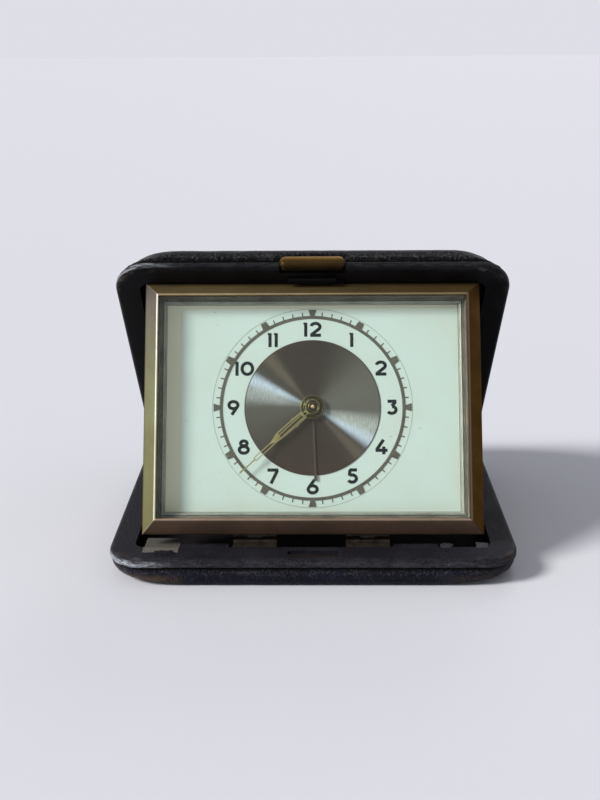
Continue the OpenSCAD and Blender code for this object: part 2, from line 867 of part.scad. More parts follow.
module dial_disc() {
    color("#77706a") at_clock() difference() {
        disc(dial_face, dial_face + disc_t, disc_r);
        bore_at(centre_at, dial_face, dial_face, pipe_gap);
    }
}

module hour_track() {
    color("#6f6657") at_clock() translate([0, 0, dial_face]) linear_extrude(track_t) {
        difference() {
            circle(track_r + track_w, $fn = smooth);
            circle(track_r, $fn = smooth);
        }
        for (i = [0 : 11]) rotate(-30 * i)
            if (i % 3 == 0)
                polygon([[-quarter_point / 2, block_in], [quarter_point / 2, block_in],
                         [block_wide / 2, block_out], [-block_wide / 2, block_out]]);
            else
                polygon([[-block_wide / 2, block_in], [block_wide / 2, block_in],
                         [block_narrow / 2, block_out], [-block_narrow / 2, block_out]]);
    }
}

// Hands point to twelve before they are turned
module minute_hand() {
    body = minute_body_share * minute_len;
    rail = rail_share * minute_w;
    color("#b79a4e") at_clock() translate([0, 0, minute_hand_z]) rotate(minute_angle)
        linear_extrude(hand_t) difference() {
            union() {
                circle(minute_boss_r, $fn = fine);
                translate([-minute_w / 2, 0]) square([minute_w, body]);
                translate([-needle_w / 2, body - slice]) square([needle_w, minute_len - body + slice]);
            }
            circle(cannon_pipe_r - play, $fn = fine);
            translate([rail - minute_w / 2, minute_boss_r + rail])
                square([minute_w - 2 * rail, body - minute_boss_r - 2 * rail]);
        }
}

module hour_hand() {
    color("#a98d49") at_clock() translate([0, 0, hour_hand_z]) rotate(hour_angle)
        linear_extrude(hand_t) difference() {
            union() {
                circle(hour_boss_r, $fn = fine);
                polygon([[-hour_w / 2, 0], [hour_w / 2, 0], [hour_w / 2, hour_tip_from],
                         [0, hour_len], [-hour_w / 2, hour_tip_from]]);
                translate([-hour_wing_w / 2, hour_wing_from]) square([hour_wing_w, hour_wing_len]);
            }
            circle(hour_pipe_r - play, $fn = fine);
            translate([hour_rail - hour_w / 2, hour_boss_r + hour_rail])
                square([hour_w - 2 * hour_rail, hour_tip_from - hour_boss_r - 2 * hour_rail]);
        }
}

module alarm_hand() {
    color("#4a3c30") at_clock() translate([0, 0, alarm_hand_z]) rotate(alarm_angle)
        linear_extrude(hand_t) difference() {
            union() {
                circle(alarm_boss_r, $fn = fine);
                translate([-alarm_w / 2, 0]) square([alarm_w, alarm_len]);
                translate([-alarm_tip_w / 2, alarm_len - alarm_tip_len]) square([alarm_tip_w, alarm_tip_len]);
            }
            circle(alarm_pipe_r - play, $fn = fine);
        }
}

// Housing, plates and the pieces that hold them together
module pillar_spots() {
    for (a = pillar_dirs)
        translate(concat(from(centre_at, plate_r * pillar_reach_share, a), [0])) children();
}

module housing_block(inset, z0, z1) {
    outline_w = frame_w - 2 * (housing_inset + inset);
    outline_h = frame_h - 2 * (housing_inset + inset);
    translate([0, 0, z0]) linear_extrude(z1 - z0)
        round_rect(outline_w, outline_h, max(housing_r - inset, slice));
}

module back_bores(z0, z1) {
    bore_at(minute_at, z0, z1, set_arbor_r);
    bore_at(alarm_set_at, z0, z1, set_arbor_r);
    bore_at(barrel_at, z0, z1, wind_arbor_r);
    bore_at(alarm_barrel_at, z0, z1, wind_arbor_r);
    bore_at(stop_at, z0, z1, stop_pin_r);
    pillar_spots() bore_at(centre_at, z0, z1, screw_r);
}

module train_bores(z0, z1) {
    for (p = [third_at, fourth_at, escape_at, pallet_at, balance_at, strike_at, hammer_at])
        bore_at(p, z0, z1, pivot_r);
}

module movement_housing() {
    color("#8c7a50") at_clock() difference() {
        housing_block(0, housing_back, -frame_edge_t);
        housing_block(housing_t, housing_floor, -frame_edge_t + over);
        back_bores(housing_back, housing_floor);
        for (s = [-1 : 2 / regulator_stops : 1])
            bore_at(from(balance_at, regulator_len, regulator_dir + s * regulator_swing),
                    housing_back, housing_floor, regulator_w);
    }
}

module front_plate() {
    color("#b39a5c") at_clock() difference() {
        disc(train_top, front_plate_z, plate_r);
        train_bores(train_top, front_plate_z);
        bore_at(centre_at, train_top, front_plate_z, centre_arbor_r);
        bore_at(minute_at, train_top, front_plate_z, set_arbor_r);
        bore_at(alarm_set_at, train_top, front_plate_z, set_arbor_r);
        bore_at(barrel_at, train_top, front_plate_z, pivot_r * 2);
        bore_at(alarm_barrel_at, train_top, front_plate_z, pivot_r * 2);
    }
}

module back_plate() {
    color("#b39a5c") at_clock() difference() {
        union() {
            disc(back_plate_low, train_low, plate_r);
            translate(concat(balance_at, [0]))
                disc(housing_floor + end_shake, back_plate_low + slice, regulator_boss_r);
        }
        train_bores(back_plate_low, train_low);
        bore_at(centre_at, back_plate_low, train_low, pivot_r);
        back_bores(back_plate_low, train_low);
    }
}

module plate_pillars() {
    color("#a98f52") at_clock() pillar_spots() disc(train_low, train_top, pillar_r);
}

module plate_screws() {
    color("#57606b") at_clock() pillar_spots() rotate_extrude($fn = fine)
        polygon([[0, housing_back - screw_head_t], [screw_head_r, housing_back - screw_head_t],
                 [screw_head_r, housing_back], [screw_r, housing_back], [screw_r, housing_floor],
                 [washer_r, housing_floor], [washer_r, back_plate_low], [screw_r, back_plate_low],
                 [screw_r, train_low], [0, train_low]]);
}

// Hand drive behind the dial
module gear(n, m, phase, z0, bore) {
    translate([0, 0, z0]) linear_extrude(wheel_t) difference() {
        tooth_ring(n, m, phase);
        if (bore > 0) circle(bore, $fn = fine);
    }
}

motion_low = front_plate_z + end_shake * 2;
motion_mid = motion_low + level_step;
motion_high = motion_mid + level_step;

module cannon_pinion() {
    color("#8f8a82") at_clock() difference() {
        union() {
            gear(cannon_n, cannon_m, minute_dir, motion_low, 0);
            disc(motion_low, minute_hand_z + hand_t + end_shake, cannon_pipe_r - play);
        }
        bore_at(centre_at, motion_low, minute_hand_z + hand_t, centre_arbor_r);
    }
}

module minute_wheel() {
    color("#b39a5c") at_clock() translate(concat(minute_at, [0])) {
        translate([0, 0, motion_low]) linear_extrude(wheel_t)
            spoked(minute_n, cannon_m, minute_dir + 180 + 180 / minute_n, set_arbor_r - slice);
        gear(minute_pin_n, hour_m, minute_dir, motion_mid, 0);
        disc(motion_low, motion_mid + slice, set_arbor_r * 2);
        disc(housing_back - back_gap - knob_t, motion_mid, set_arbor_r);
    }
}

module hour_wheel() {
    color("#b39a5c") at_clock() difference() {
        union() {
            translate([0, 0, motion_mid]) linear_extrude(wheel_t)
                spoked(hour_n, hour_m, minute_dir + 180 / hour_n, cannon_pipe_r);
            disc(motion_mid, hour_hand_z + hand_t, hour_pipe_r - play);
        }
        bore_at(centre_at, motion_mid, hour_hand_z + hand_t, cannon_pipe_r);
    }
}

module alarm_wheel() {
    color("#a98f52") at_clock() difference() {
        union() {
            translate([0, 0, motion_high]) linear_extrude(wheel_t)
                spoked(alarm_n, alarm_m, alarm_set_dir, hour_pipe_r);
            disc(motion_high, alarm_hand_z + hand_t, alarm_pipe_r - play);
        }
        bore_at(centre_at, motion_high, alarm_hand_z + hand_t, hour_pipe_r);
    }
}

module alarm_set_arbor() {
    color("#8f8a82") at_clock() translate(concat(alarm_set_at, [0])) {
        gear(alarm_pin_n, alarm_m, alarm_set_dir + 180 + 180 / alarm_pin_n, motion_high, 0);
        disc(housing_back - back_gap - knob_t, motion_high, set_arbor_r);
    }
}

module set_knob(place) {
    at_clock() translate([place[0], place[1], housing_back - back_gap - knob_t]) difference() {
        union() {
            cylinder(h = knob_t, r = knob_r, $fn = fine);
            for (i = [0 : knob_ribs - 1]) rotate(i * 360 / knob_ribs) translate([knob_r, 0, 0])
                cylinder(h = knob_t, r = knob_rib_r, $fn = 16);
        }
        translate([0, 0, -over]) cylinder(h = knob_t + 2 * over, r = set_arbor_r, $fn = fine);
    }
}

module time_set_knob() {
    color("#8c7a50") set_knob(minute_at);
}

module alarm_set_knob() {
    color("#8c7a50") set_knob(alarm_set_at);
}

// Barrels, their arbors and keys
module barrel(n, m, r, phase) {
    drum_top = level_2 + wheel_t / 2;
    difference() {
        union() {
            disc(train_low + 2 * end_shake, drum_top, r);
            gear(n, m, phase, level_4, 0);
        }
        bore_at(centre_at, train_low, drum_top, wind_arbor_r);
    }
}

module winding_arbor(place) {
    at_clock() translate(concat(place, [0])) {
        disc(housing_back - back_gap - key_hub_t, train_top - end_shake, wind_arbor_r);
        disc(train_top - end_shake, front_plate_z - end_shake, pivot_r * 2);
    }
}

module winding_key(place, turn) {
    at_clock() translate([place[0], place[1], housing_back - back_gap - key_hub_t]) difference() {
        union() {
            cylinder(h = key_hub_t, r = key_hub_r, $fn = fine);
            rotate(turn) linear_extrude(key_t) difference() {
                intersection() {
                    for (x = [-1, 1]) translate([x * (key_w - key_wing_h) / 2, 0]) circle(key_wing_h / 2, $fn = fine);
                    square([key_w, key_wing_h], center = true);
                }
                for (x = [-1, 1]) translate([x * (key_w / 2 - key_hole_r * 2), 0]) circle(key_hole_r, $fn = fine);
            }
        }
        translate([0, 0, -over]) cylinder(h = key_hub_t + 2 * over, r = wind_arbor_r, $fn = fine);
    }
}

module going_barrel() {
    color("#b39a5c") at_clock() translate(concat(barrel_at, [0]))
        barrel(barrel_n, barrel_m, barrel_r, barrel_dir + 180);
}

module going_barrel_arbor() {
    color("#8f8a82") winding_arbor(barrel_at);
}

module time_winding_key() {
    color("#8c7a50") winding_key(barrel_at, time_key_dir);
}

module alarm_barrel() {
    color("#b39a5c") at_clock() translate(concat(alarm_barrel_at, [0]))
        barrel(alarm_barrel_n, alarm_barrel_m, alarm_barrel_r, strike_dir);
}

module alarm_barrel_arbor() {
    color("#8f8a82") winding_arbor(alarm_barrel_at);
}

module alarm_winding_key() {
    color("#8c7a50") winding_key(alarm_barrel_at, alarm_key_dir);
}

// Going train
module centre_wheel() {
    color("#b39a5c") at_clock() {
        translate([0, 0, level_1]) linear_extrude(wheel_t)
            spoked(centre_n, centre_m, third_dir, arbor_r);
        gear(centre_pin_n, barrel_m, barrel_dir + 180 / centre_pin_n, level_4, 0);
        disc(train_low - plate_t + end_shake, train_low + end_shake, pivot_r);
        disc(train_low + end_shake, train_top - end_shake, arbor_r * 2);
        disc(train_top - end_shake * 2, centre_pin_top, centre_arbor_r);
    }
}

module train_wheel(place, n, m, phase, z0, pin_n, pin_m, pin_phase, pin_z) {
    at_clock() translate(concat(place, [0])) {
        translate([0, 0, z0]) linear_extrude(wheel_t) spoked(n, m, phase, arbor_r - slice);
        gear(pin_n, pin_m, pin_phase, pin_z, 0);
        arbor(train_low, train_top);
    }
}

module third_wheel() {
    color("#b39a5c") train_wheel(third_at, third_n, third_m, fourth_dir, level_2,
        third_pin_n, centre_m, third_dir + 180 + 180 / third_pin_n, level_1);
}

module fourth_wheel() {
    color("#b39a5c") train_wheel(fourth_at, fourth_n, fourth_m, escape_dir, level_3,
        fourth_pin_n, third_m, fourth_dir + 180 + 180 / fourth_pin_n, level_2);
}

module club_wheel(n, r, root_share) {
    polygon([
        for (i = [0 : n - 1]) each [
            r * root_share * [cos(i * 360 / n), sin(i * 360 / n)],
            r * [cos((i + club_lead_share) * 360 / n), sin((i + club_lead_share) * 360 / n)],
            r * [cos((i + club_tip_share) * 360 / n), sin((i + club_tip_share) * 360 / n)]
        ]
    ]);
}

module escape_wheel() {
    color("#b39a5c") at_clock() translate(concat(escape_at, [0])) {
        translate([0, 0, level_4]) linear_extrude(wheel_t) club_wheel(escape_n, escape_r, escape_root_share);
        gear(escape_pin_n, fourth_m, escape_dir + 180 + 180 / escape_pin_n, level_3, 0);
        arbor(train_low, train_top);
    }
}

module pallet_fork() {
    back_dir = pallet_dir + 180;
    fork_len = balance_reach - fork_stop;
    color("#8f8a82") at_clock() translate(concat(pallet_at, [0])) {
        translate([0, 0, level_4]) linear_extrude(wheel_t) difference() {
            union() {
                circle(arbor_r * 2, $fn = fine);
                rotate(balance_dir) translate([0, -fork_w / 2]) square([fork_len, fork_w]);
                rotate(balance_dir) translate([fork_len - fork_notch_d * 2, -fork_mouth_w / 2])
                    square([fork_notch_d * 2, fork_mouth_w]);
                for (s = [-1, 1]) rotate(back_dir + s * stone_spread) {
                    translate([0, -fork_w / 2]) square([pallet_arm(stone_spread), fork_w]);
                    translate([pallet_arm(stone_spread) - stone_w, -stone_w / 2])
                        square([stone_w, stone_w]);
                }
            }
            rotate(balance_dir) translate([fork_len - fork_notch_d, -fork_notch_w / 2])
                square([fork_notch_d + over, fork_notch_w]);
        }
        arbor(train_low, train_top);
    }
}

// Distance from the pallets' axis at which a ray meets the wheel's clearance circle
function pallet_arm(spread) =
    let (clear_r = escape_r + stone_gap + stone_w)
    pallet_reach * cos(spread) - sqrt(max(clear_r * clear_r - pow(pallet_reach * sin(spread), 2), 0));

module balance_wheel() {
    color("#c2a866") at_clock() translate(concat(balance_at, [0])) {
        translate([0, 0, level_1 - balance_rim_t / 2]) linear_extrude(balance_rim_t) {
            difference() {
                circle(balance_r, $fn = smooth);
                circle(balance_r - balance_rim_w, $fn = smooth);
            }
            square([2 * balance_r - balance_rim_w, spoke_w], center = true);
            circle(arbor_r * 2, $fn = fine);
        }
        disc(level_4 - roller_t, level_4, roller_r);
        arbor(train_low, train_top);
    }
}

module hairspring() {
    start = coil_in - 2 * coil_w;
    steps = coil_turns * coil_steps;
    function coil(i, side) = let (r = start + i * (coil_out - start) / steps + side)
        r * [cos(i * 360 / coil_steps), sin(i * 360 / coil_steps)];
    color("#5b6f8f") at_clock() translate(concat(balance_at, [0])) rotate(coil_dir) {
        translate([0, 0, level_3]) linear_extrude(coil_h) {
            polygon(concat([for (i = [0 : steps]) coil(i, 0)],
                           [for (i = [steps : -1 : 0]) coil(i, coil_w)]));
            difference() {
                circle(coil_in, $fn = fine);
                circle(arbor_r + play, $fn = fine);
            }
        }
        translate([coil_out, 0, 0]) disc(train_low, level_3 + coil_h, stud_r);
    }
}

module regulator() {
    color("#a98f52") at_clock() translate(concat(balance_at, [0])) {
        translate([0, 0, housing_floor + end_shake])
            linear_extrude(back_plate_low - housing_floor - 2 * end_shake) difference() {
                union() {
                    circle(regulator_ring_r, $fn = fine);
                    rotate(regulator_dir) translate([0, -regulator_w / 2]) square([regulator_len, regulator_w]);
                }
                circle(regulator_boss_r + play, $fn = fine);
            }
        rotate(regulator_dir) translate([regulator_len, 0, 0])
            disc(housing_back - back_gap, back_plate_low - end_shake, regulator_pin_r);
    }
}

// Alarm striking work
module strike_wheel() {
    color("#b39a5c") at_clock() translate(concat(strike_at, [0])) {
        translate([0, 0, level_1]) linear_extrude(wheel_t) club_wheel(strike_n, strike_r, strike_root_share);
        gear(strike_pin_n, alarm_barrel_m, strike_dir + 180 + 180 / strike_pin_n, level_4, 0);
        arbor(train_low, train_top);
    }
}

module alarm_hammer() {
    color("#8f8a82") at_clock() translate(concat(hammer_at, [0])) {
        translate([0, 0, level_1]) linear_extrude(wheel_t) {
            circle(arbor_r * 2, $fn = fine);
            rotate(hammer_dir + 180) translate([0, -anchor_w / 2])
                square([hammer_reach - strike_r - anchor_gap, anchor_w]);
            rotate(hammer_arm_dir) translate([0, -hammer_arm_w / 2]) square([hammer_arm_len, hammer_arm_w]);
        }
        translate(concat(from([0, 0], hammer_arm_len, hammer_arm_dir), [level_1 + wheel_t - hammer_head_t]))
            cylinder(h = hammer_head_t, r = hammer_head_r, $fn = fine);
        arbor(train_low, train_top);
    }
}

module alarm_stop_button() {
    color("#8c7a50") at_clock() translate(concat(stop_at, [0])) {
        disc(housing_back - back_gap - stop_travel - stop_cap_t,
             housing_back - back_gap - stop_travel, stop_cap_r);
        disc(housing_back - back_gap - stop_travel - slice, train_low + end_shake, stop_pin_r);
    }
}

base_cover();
base_rim();
base_pan();
base_lining();
hinge_rail();
catch_plate();
case_hinge_base_leaf();
case_hinge_lid_leaf();
case_hinge_pin();
lid_cover();
lid_rim();
lid_pan();
lid_lining();
clasp_button();
clasp_hook();
clasp_spring();
clasp_bracket();
clock_hinge_fixed_leaves();
clock_hinge_moving_leaves();
clock_hinge_pins();
bezel_frame();
inner_bezel();
front_glass();
dial();
dial_disc();
hour_track();
minute_hand();
hour_hand();
alarm_hand();
movement_housing();
front_plate();
back_plate();
plate_pillars();
plate_screws();
cannon_pinion();
hour_wheel();
minute_wheel();
alarm_wheel();
alarm_set_arbor();
time_set_knob();
alarm_set_knob();
going_barrel();
going_barrel_arbor();
time_winding_key();
alarm_barrel();
alarm_barrel_arbor();
alarm_winding_key();
centre_wheel();
third_wheel();
fourth_wheel();
escape_wheel();
pallet_fork();
balance_wheel();
hairspring();
regulator();
strike_wheel();
alarm_hammer();
alarm_stop_button();
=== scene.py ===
"""Looks and scene of a folding travel alarm clock that stands open in its padded leather case.

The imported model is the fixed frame. Soft pads, linings, the mitred gilt frame, the dial's
printing and the hub rings are worked out here with numpy, and every finish is procedural.
"""
from __future__ import annotations

import json
import logging
import math
from dataclasses import dataclass, field
from enum import Enum
from functools import cache
from typing import Iterable, NamedTuple, Sequence

import bmesh
import bpy
import numpy as np
from mathutils import Matrix, Vector

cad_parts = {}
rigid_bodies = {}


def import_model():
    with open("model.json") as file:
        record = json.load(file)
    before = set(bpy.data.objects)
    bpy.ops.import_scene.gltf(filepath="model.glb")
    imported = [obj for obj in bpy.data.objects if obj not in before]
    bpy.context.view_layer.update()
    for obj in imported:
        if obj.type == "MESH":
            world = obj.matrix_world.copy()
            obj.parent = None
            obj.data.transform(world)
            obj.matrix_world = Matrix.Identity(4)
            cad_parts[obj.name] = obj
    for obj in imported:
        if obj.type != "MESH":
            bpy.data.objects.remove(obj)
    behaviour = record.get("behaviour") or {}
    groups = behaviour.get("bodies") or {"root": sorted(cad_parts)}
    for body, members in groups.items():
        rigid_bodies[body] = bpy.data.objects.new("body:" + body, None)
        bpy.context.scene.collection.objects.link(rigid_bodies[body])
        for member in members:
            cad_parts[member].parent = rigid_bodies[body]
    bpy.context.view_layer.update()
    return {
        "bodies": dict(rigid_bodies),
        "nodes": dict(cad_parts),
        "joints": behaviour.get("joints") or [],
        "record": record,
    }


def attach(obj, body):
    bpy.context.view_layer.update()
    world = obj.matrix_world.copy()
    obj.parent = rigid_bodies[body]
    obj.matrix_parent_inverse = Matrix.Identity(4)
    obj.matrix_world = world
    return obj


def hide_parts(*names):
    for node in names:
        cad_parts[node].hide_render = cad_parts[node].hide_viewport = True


LOG = logging.getLogger("travel_clock")
MM = 0.001

Triple = tuple[float, float, float]
Colour = tuple[float, float, float]
Faces = list[tuple[int, ...]]
Shape = tuple[np.ndarray, Faces]
Socket = bpy.types.NodeSocket
Node = bpy.types.Node
Piece = bpy.types.Object

# Sizes that the case, the frame and their finishes share, in mm
CASE_W = 113.0
CASE_D = 89.5
CASE_MIDDLE = 46.15
CASE_CORNER = 10.0
FRAME_W = 95.0
FRAME_H = 71.1

# Where the halves of the case and the clock stand, in mm and degrees
CASE_HINGE = (0.0, 46.15, 8.3)
LID_OPEN = math.radians(52.7833)
CLOCK_PIVOT = (0.0, -31.85, 7.8)
CLOCK_LEAN = math.radians(25.2)
DIAL_ABOVE_PIVOT = 37.35
DIAL_BEFORE_PIVOT = 4.0


# Places and frames of work


@dataclass(frozen=True)
class Placing:
    """Where a sub-assembly's own axes lie in the row frame: an origin in mm and three unit axes."""

    origin: Triple
    axes: tuple[Triple, Triple, Triple]

    def matrix(self) -> np.ndarray:
        """Return the 3 by 3 matrix whose columns are the axes."""
        return np.array(self.axes, float).T

    def to_world(self, points: np.ndarray) -> np.ndarray:
        """Carry local points in mm to the row frame in metres."""
        return (points @ self.matrix().T + np.array(self.origin)) * MM

    def mapping(self) -> tuple[Vector, Vector]:
        """Work out what a Mapping node needs to give local mm.

        Returns:
            The location and the rotation.
        """
        inverse = Matrix(self.matrix().T.tolist())
        location = -(inverse @ Vector(self.origin))
        return location, Vector(inverse.to_euler("XYZ"))


BASE = Placing(CASE_HINGE, ((1, 0, 0), (0, -1, 0), (0, 0, -1)))
LID = Placing(CASE_HINGE, ((-1, 0, 0), (0, -math.cos(LID_OPEN), math.sin(LID_OPEN)),
                           (0, math.sin(LID_OPEN), math.cos(LID_OPEN))))
_UP = (0.0, math.sin(CLOCK_LEAN), math.cos(CLOCK_LEAN))
_OUT = (0.0, -math.cos(CLOCK_LEAN), math.sin(CLOCK_LEAN))
CLOCK = Placing(tuple(np.array(CLOCK_PIVOT) + DIAL_ABOVE_PIVOT * np.array(_UP) + DIAL_BEFORE_PIVOT * np.array(_OUT)),
                ((1, 0, 0), _UP, _OUT))


# Surfaces worked out as whole arrays


def rounded_rings(half_x: np.ndarray, half_y: np.ndarray, radius: np.ndarray, per_side: int, per_corner: int
                  ) -> np.ndarray:
    """Rounded rectangles: four quarter circles joined by straight runs of evenly spaced points.

    Args:
        half_x: half of each ring's width.
        half_y: half of each ring's depth.
        radius: corner radius of each ring.
        per_side: points along each straight run.
        per_corner: points round each corner.

    Returns:
        An array of ring, point and coordinate, counterclockwise.
    """
    turn = np.linspace(0.0, math.pi / 2, per_corner)
    corners = []
    for quarter, (sx, sy) in enumerate(((1, 1), (-1, 1), (-1, -1), (1, -1))):
        angle = turn + quarter * math.pi / 2
        centre = np.stack([sx * (half_x - radius), sy * (half_y - radius)], -1)[:, None, :]
        around = np.stack([np.cos(angle), np.sin(angle)], -1)[None]
        corners.append(centre + radius[:, None, None] * around)
    share = (np.arange(per_side) + 1.0) / (per_side + 1.0)
    runs = []
    for quarter in range(4):
        start = corners[quarter][:, -1:, :]
        end = corners[(quarter + 1) % 4][:, :1, :]
        runs.append(corners[quarter])
        runs.append(start + (end - start) * share[None, :, None])
    return np.concatenate(runs, axis=1)


def ripples(points: np.ndarray, wavelength: float, seed: int, octaves: int = 4) -> np.ndarray:
    """Smooth relief from -1 to 1: sums of sine waves along seeded directions, halved each octave.

    Args:
        points: coordinates in mm, ending in 3.
        wavelength: length of the longest waves in mm.
        seed: seed of the directions and phases.
        octaves: number of halvings.

    Returns:
        One value for each point.
    """
    waves, gain = 5, 1.6
    draw = np.random.default_rng(seed)
    total = np.zeros(points.shape[:-1])
    weight = 0.0
    for octave in range(octaves):
        directions = draw.normal(size=(waves, 3))
        directions /= np.linalg.norm(directions, axis=1, keepdims=True)
        phase = draw.uniform(0, 2 * math.pi, waves)
        turn = 2 * math.pi / wavelength * 2 ** octave
        strength = 0.5 ** octave
        total += strength * np.sin(points @ directions.T * turn + phase).mean(-1) * gain
        weight += strength
    return np.clip(total / weight, -1, 1)


def grid_normals(rings: np.ndarray) -> np.ndarray:
    """Unit normals of a lofted grid, as the cross product of the slopes along and round it.

    Args:
        rings: array of ring, point and coordinate.

    Returns:
        A normal for each point.
    """
    along = np.gradient(rings, axis=0)
    around = np.roll(rings, -1, 1) - np.roll(rings, 1, 1)
    normal = np.cross(around, along)
    length = np.linalg.norm(normal, axis=-1, keepdims=True)
    return normal / np.maximum(length, 1e-9)


def as_faces(*indices: np.ndarray) -> Faces:
    """Turn arrays of face indices, one row a face, into one list of faces."""
    return [tuple(row) for block in indices for row in block.tolist()]


def loft_faces(rows: int, count: int, loop: bool) -> Faces:
    """Quads between neighbouring rings, each ring closed on itself.

    Args:
        rows: number of rings.
        count: points in a ring.
        loop: whether the last ring joins the first.

    Returns:
        The faces as tuples of indices.
    """
    last = rows if loop else rows - 1
    row, point = np.meshgrid(np.arange(last), np.arange(count), indexing="ij")
    after, following = (row + 1) % rows, (point + 1) % count
    quads = np.stack([row * count + point, row * count + following,
                      after * count + following, after * count + point], -1)
    return as_faces(quads.reshape(-1, 4))


def capped_loft(rings: np.ndarray) -> Shape:
    """Close a stack of rings with a fan to the middle of its first and last ring.

    Args:
        rings: array of ring, point and coordinate.

    Returns:
        Points and faces.
    """
    rows, count = rings.shape[:2]
    points = np.concatenate([rings.reshape(-1, 3), rings[0].mean(0)[None], rings[-1].mean(0)[None]])
    here = np.arange(count)
    beside = np.roll(here, -1)
    start, end = np.full(count, rows * count), np.full(count, rows * count + 1)
    base = (rows - 1) * count
    first = np.stack([start, beside, here], -1)
    last = np.stack([end, base + here, base + beside], -1)
    fans = np.stack([first, last], 1).reshape(-1, 3)
    return points, loft_faces(rows, count, False) + as_faces(fans)


def closed_sheet(face: np.ndarray, foot: np.ndarray) -> Shape:
    """A grid over another of the same size, joined along their borders into a closed solid.

    Args:
        face: the upper grid, of row, column and coordinate.
        foot: the lower grid.

    Returns:
        Points and faces.
    """
    rows, columns = face.shape[:2]
    below = rows * columns
    index = np.arange(below).reshape(rows, columns)
    cells = np.stack([index[:-1, :-1], index[1:, :-1], index[1:, 1:], index[:-1, 1:]], -1).reshape(-1, 4)
    border = np.concatenate([index[:-1, 0], index[-1, :-1], index[:0:-1, -1], index[0, :0:-1]])
    after = np.roll(border, -1)
    walls = np.stack([border, after, after + below, border + below], -1)
    points = np.concatenate([face.reshape(-1, 3), foot.reshape(-1, 3)])
    return points, as_faces(cells, cells[:, ::-1] + below, walls)


def lathe(profile: np.ndarray, count: int = 96) -> Shape:
    """Turn a closed profile about the local z axis: each of its points runs round a circle.

    Args:
        profile: rows of radius and height.
        count: points round the axis.

    Returns:
        Points and faces.
    """
    angle = np.linspace(0, 2 * math.pi, count, endpoint=False)
    rings = np.stack([profile[:, :1] * np.cos(angle), profile[:, :1] * np.sin(angle),
                      np.repeat(profile[:, 1:], count, 1)], -1)
    return rings.reshape(-1, 3), loft_faces(len(profile), count, True)


def rounded_corner(before: np.ndarray, corner: np.ndarray, after: np.ndarray, radius: float, steps: int = 5
                   ) -> np.ndarray:
    """Points of a fillet: a quadratic curve from one side of the corner to the other.

    Args:
        before: the point before the corner.
        corner: the corner.
        after: the point after it.
        radius: how far from the corner the curve starts and ends.
        steps: points along the curve.

    Returns:
        The curve's points.
    """
    to_before = (before - corner) / np.linalg.norm(before - corner)
    to_after = (after - corner) / np.linalg.norm(after - corner)
    t = np.linspace(0, 1, steps)[:, None]
    start, end = corner + to_before * radius, corner + to_after * radius
    return (1 - t) ** 2 * start + 2 * t * (1 - t) * corner + t ** 2 * end


def filleted(points: Sequence[tuple[float, float]], radii: Sequence[float]) -> np.ndarray:
    """Round the corners of a closed profile.

    Args:
        points: the profile's corners.
        radii: a radius for each, where a zero keeps the corner.

    Returns:
        The rounded profile.
    """
    line = np.array(points, float)
    out: list[np.ndarray] = []
    for i, radius in enumerate(radii):
        if radius <= 0:
            out.append(line[i][None])
        else:
            out.append(rounded_corner(line[i - 1], line[i], line[(i + 1) % len(line)], radius))
    return np.concatenate(out)


def ribbon(points: np.ndarray, width: float, low: float, high: float, closed: bool) -> Shape:
    """A flat stroke of even width along a path, as a closed thin solid with mitred bends.

    Args:
        points: path of x and y in mm.
        width: width of the stroke.
        low: height of its underside.
        high: height of its face.
        closed: whether the path returns to its start.

    Returns:
        Points and faces.
    """
    if closed:
        ahead, behind = np.roll(points, -1, 0) - points, points - np.roll(points, 1, 0)
    else:
        step = np.diff(points, axis=0)
        ahead, behind = np.vstack([step, step[-1:]]), np.vstack([step[:1], step])
    ahead /= np.linalg.norm(ahead, axis=1, keepdims=True)
    behind /= np.linalg.norm(behind, axis=1, keepdims=True)
    middle = ahead + behind
    middle /= np.linalg.norm(middle, axis=1, keepdims=True)
    side = np.stack([-middle[:, 1], middle[:, 0]], -1)
    stretch = 1 / np.maximum((middle * ahead).sum(1), 0.5)
    shift = side * (stretch * width / 2)[:, None]
    left, right = points + shift, points - shift
    rim = [(left, low), (right, low), (right, high), (left, high)]
    stack = np.stack([np.column_stack([p, np.full(len(p), z)]) for p, z in rim], 1)
    count = len(points)
    faces = loft_faces(count, 4, closed)
    if not closed:
        faces += [(3, 2, 1, 0), tuple(4 * (count - 1) + k for k in range(4))]
    return stack.reshape(-1, 3), faces


def joined(parts: Iterable[Shape]) -> Shape:
    """Put several shapes into one.

    Args:
        parts: sets of points and faces.

    Returns:
        All their points and faces.
    """
    points: list[np.ndarray] = []
    faces: Faces = []
    offset = 0
    for some, some_faces in parts:
        points.append(some)
        faces += [tuple(i + offset for i in f) for f in some_faces]
        offset += len(some)
    return np.concatenate(points), faces


def arc(radius: float, start: float, end: float, count: int) -> np.ndarray:
    """Points on a circle round the origin from one angle to another, in degrees."""
    angle = np.radians(np.linspace(start, end, count))
    return radius * np.stack([np.cos(angle), np.sin(angle)], -1)


def mesh_piece(name: str, shape: Shape, place: Placing, finish: Finish, smooth: bool = True) -> Piece:
    """Make a mesh object from a local shape, with its faces turned outwards.

    Args:
        name: the piece's name.
        shape: local points in mm, and faces.
        place: the sub-assembly's placing.
        finish: the finish of the whole piece.
        smooth: whether the faces are shaded smooth.

    Returns:
        The object, at the origin, with its place in its mesh.
    """
    points, faces = shape
    mesh = bpy.data.meshes.new(name)
    mesh.from_pydata(place.to_world(points.reshape(-1, 3)).tolist(), [], faces)
    work = bmesh.new()
    work.from_mesh(mesh)
    bmesh.ops.remove_doubles(work, verts=work.verts, dist=1e-7)
    bmesh.ops.recalc_face_normals(work, faces=work.faces)
    work.to_mesh(mesh)
    work.free()
    mesh.polygons.foreach_set("use_smooth", np.full(len(mesh.polygons), smooth))
    mesh.materials.append(finish.material())
    piece = bpy.data.objects.new(name, mesh)
    bpy.context.collection.objects.link(piece)
    return piece


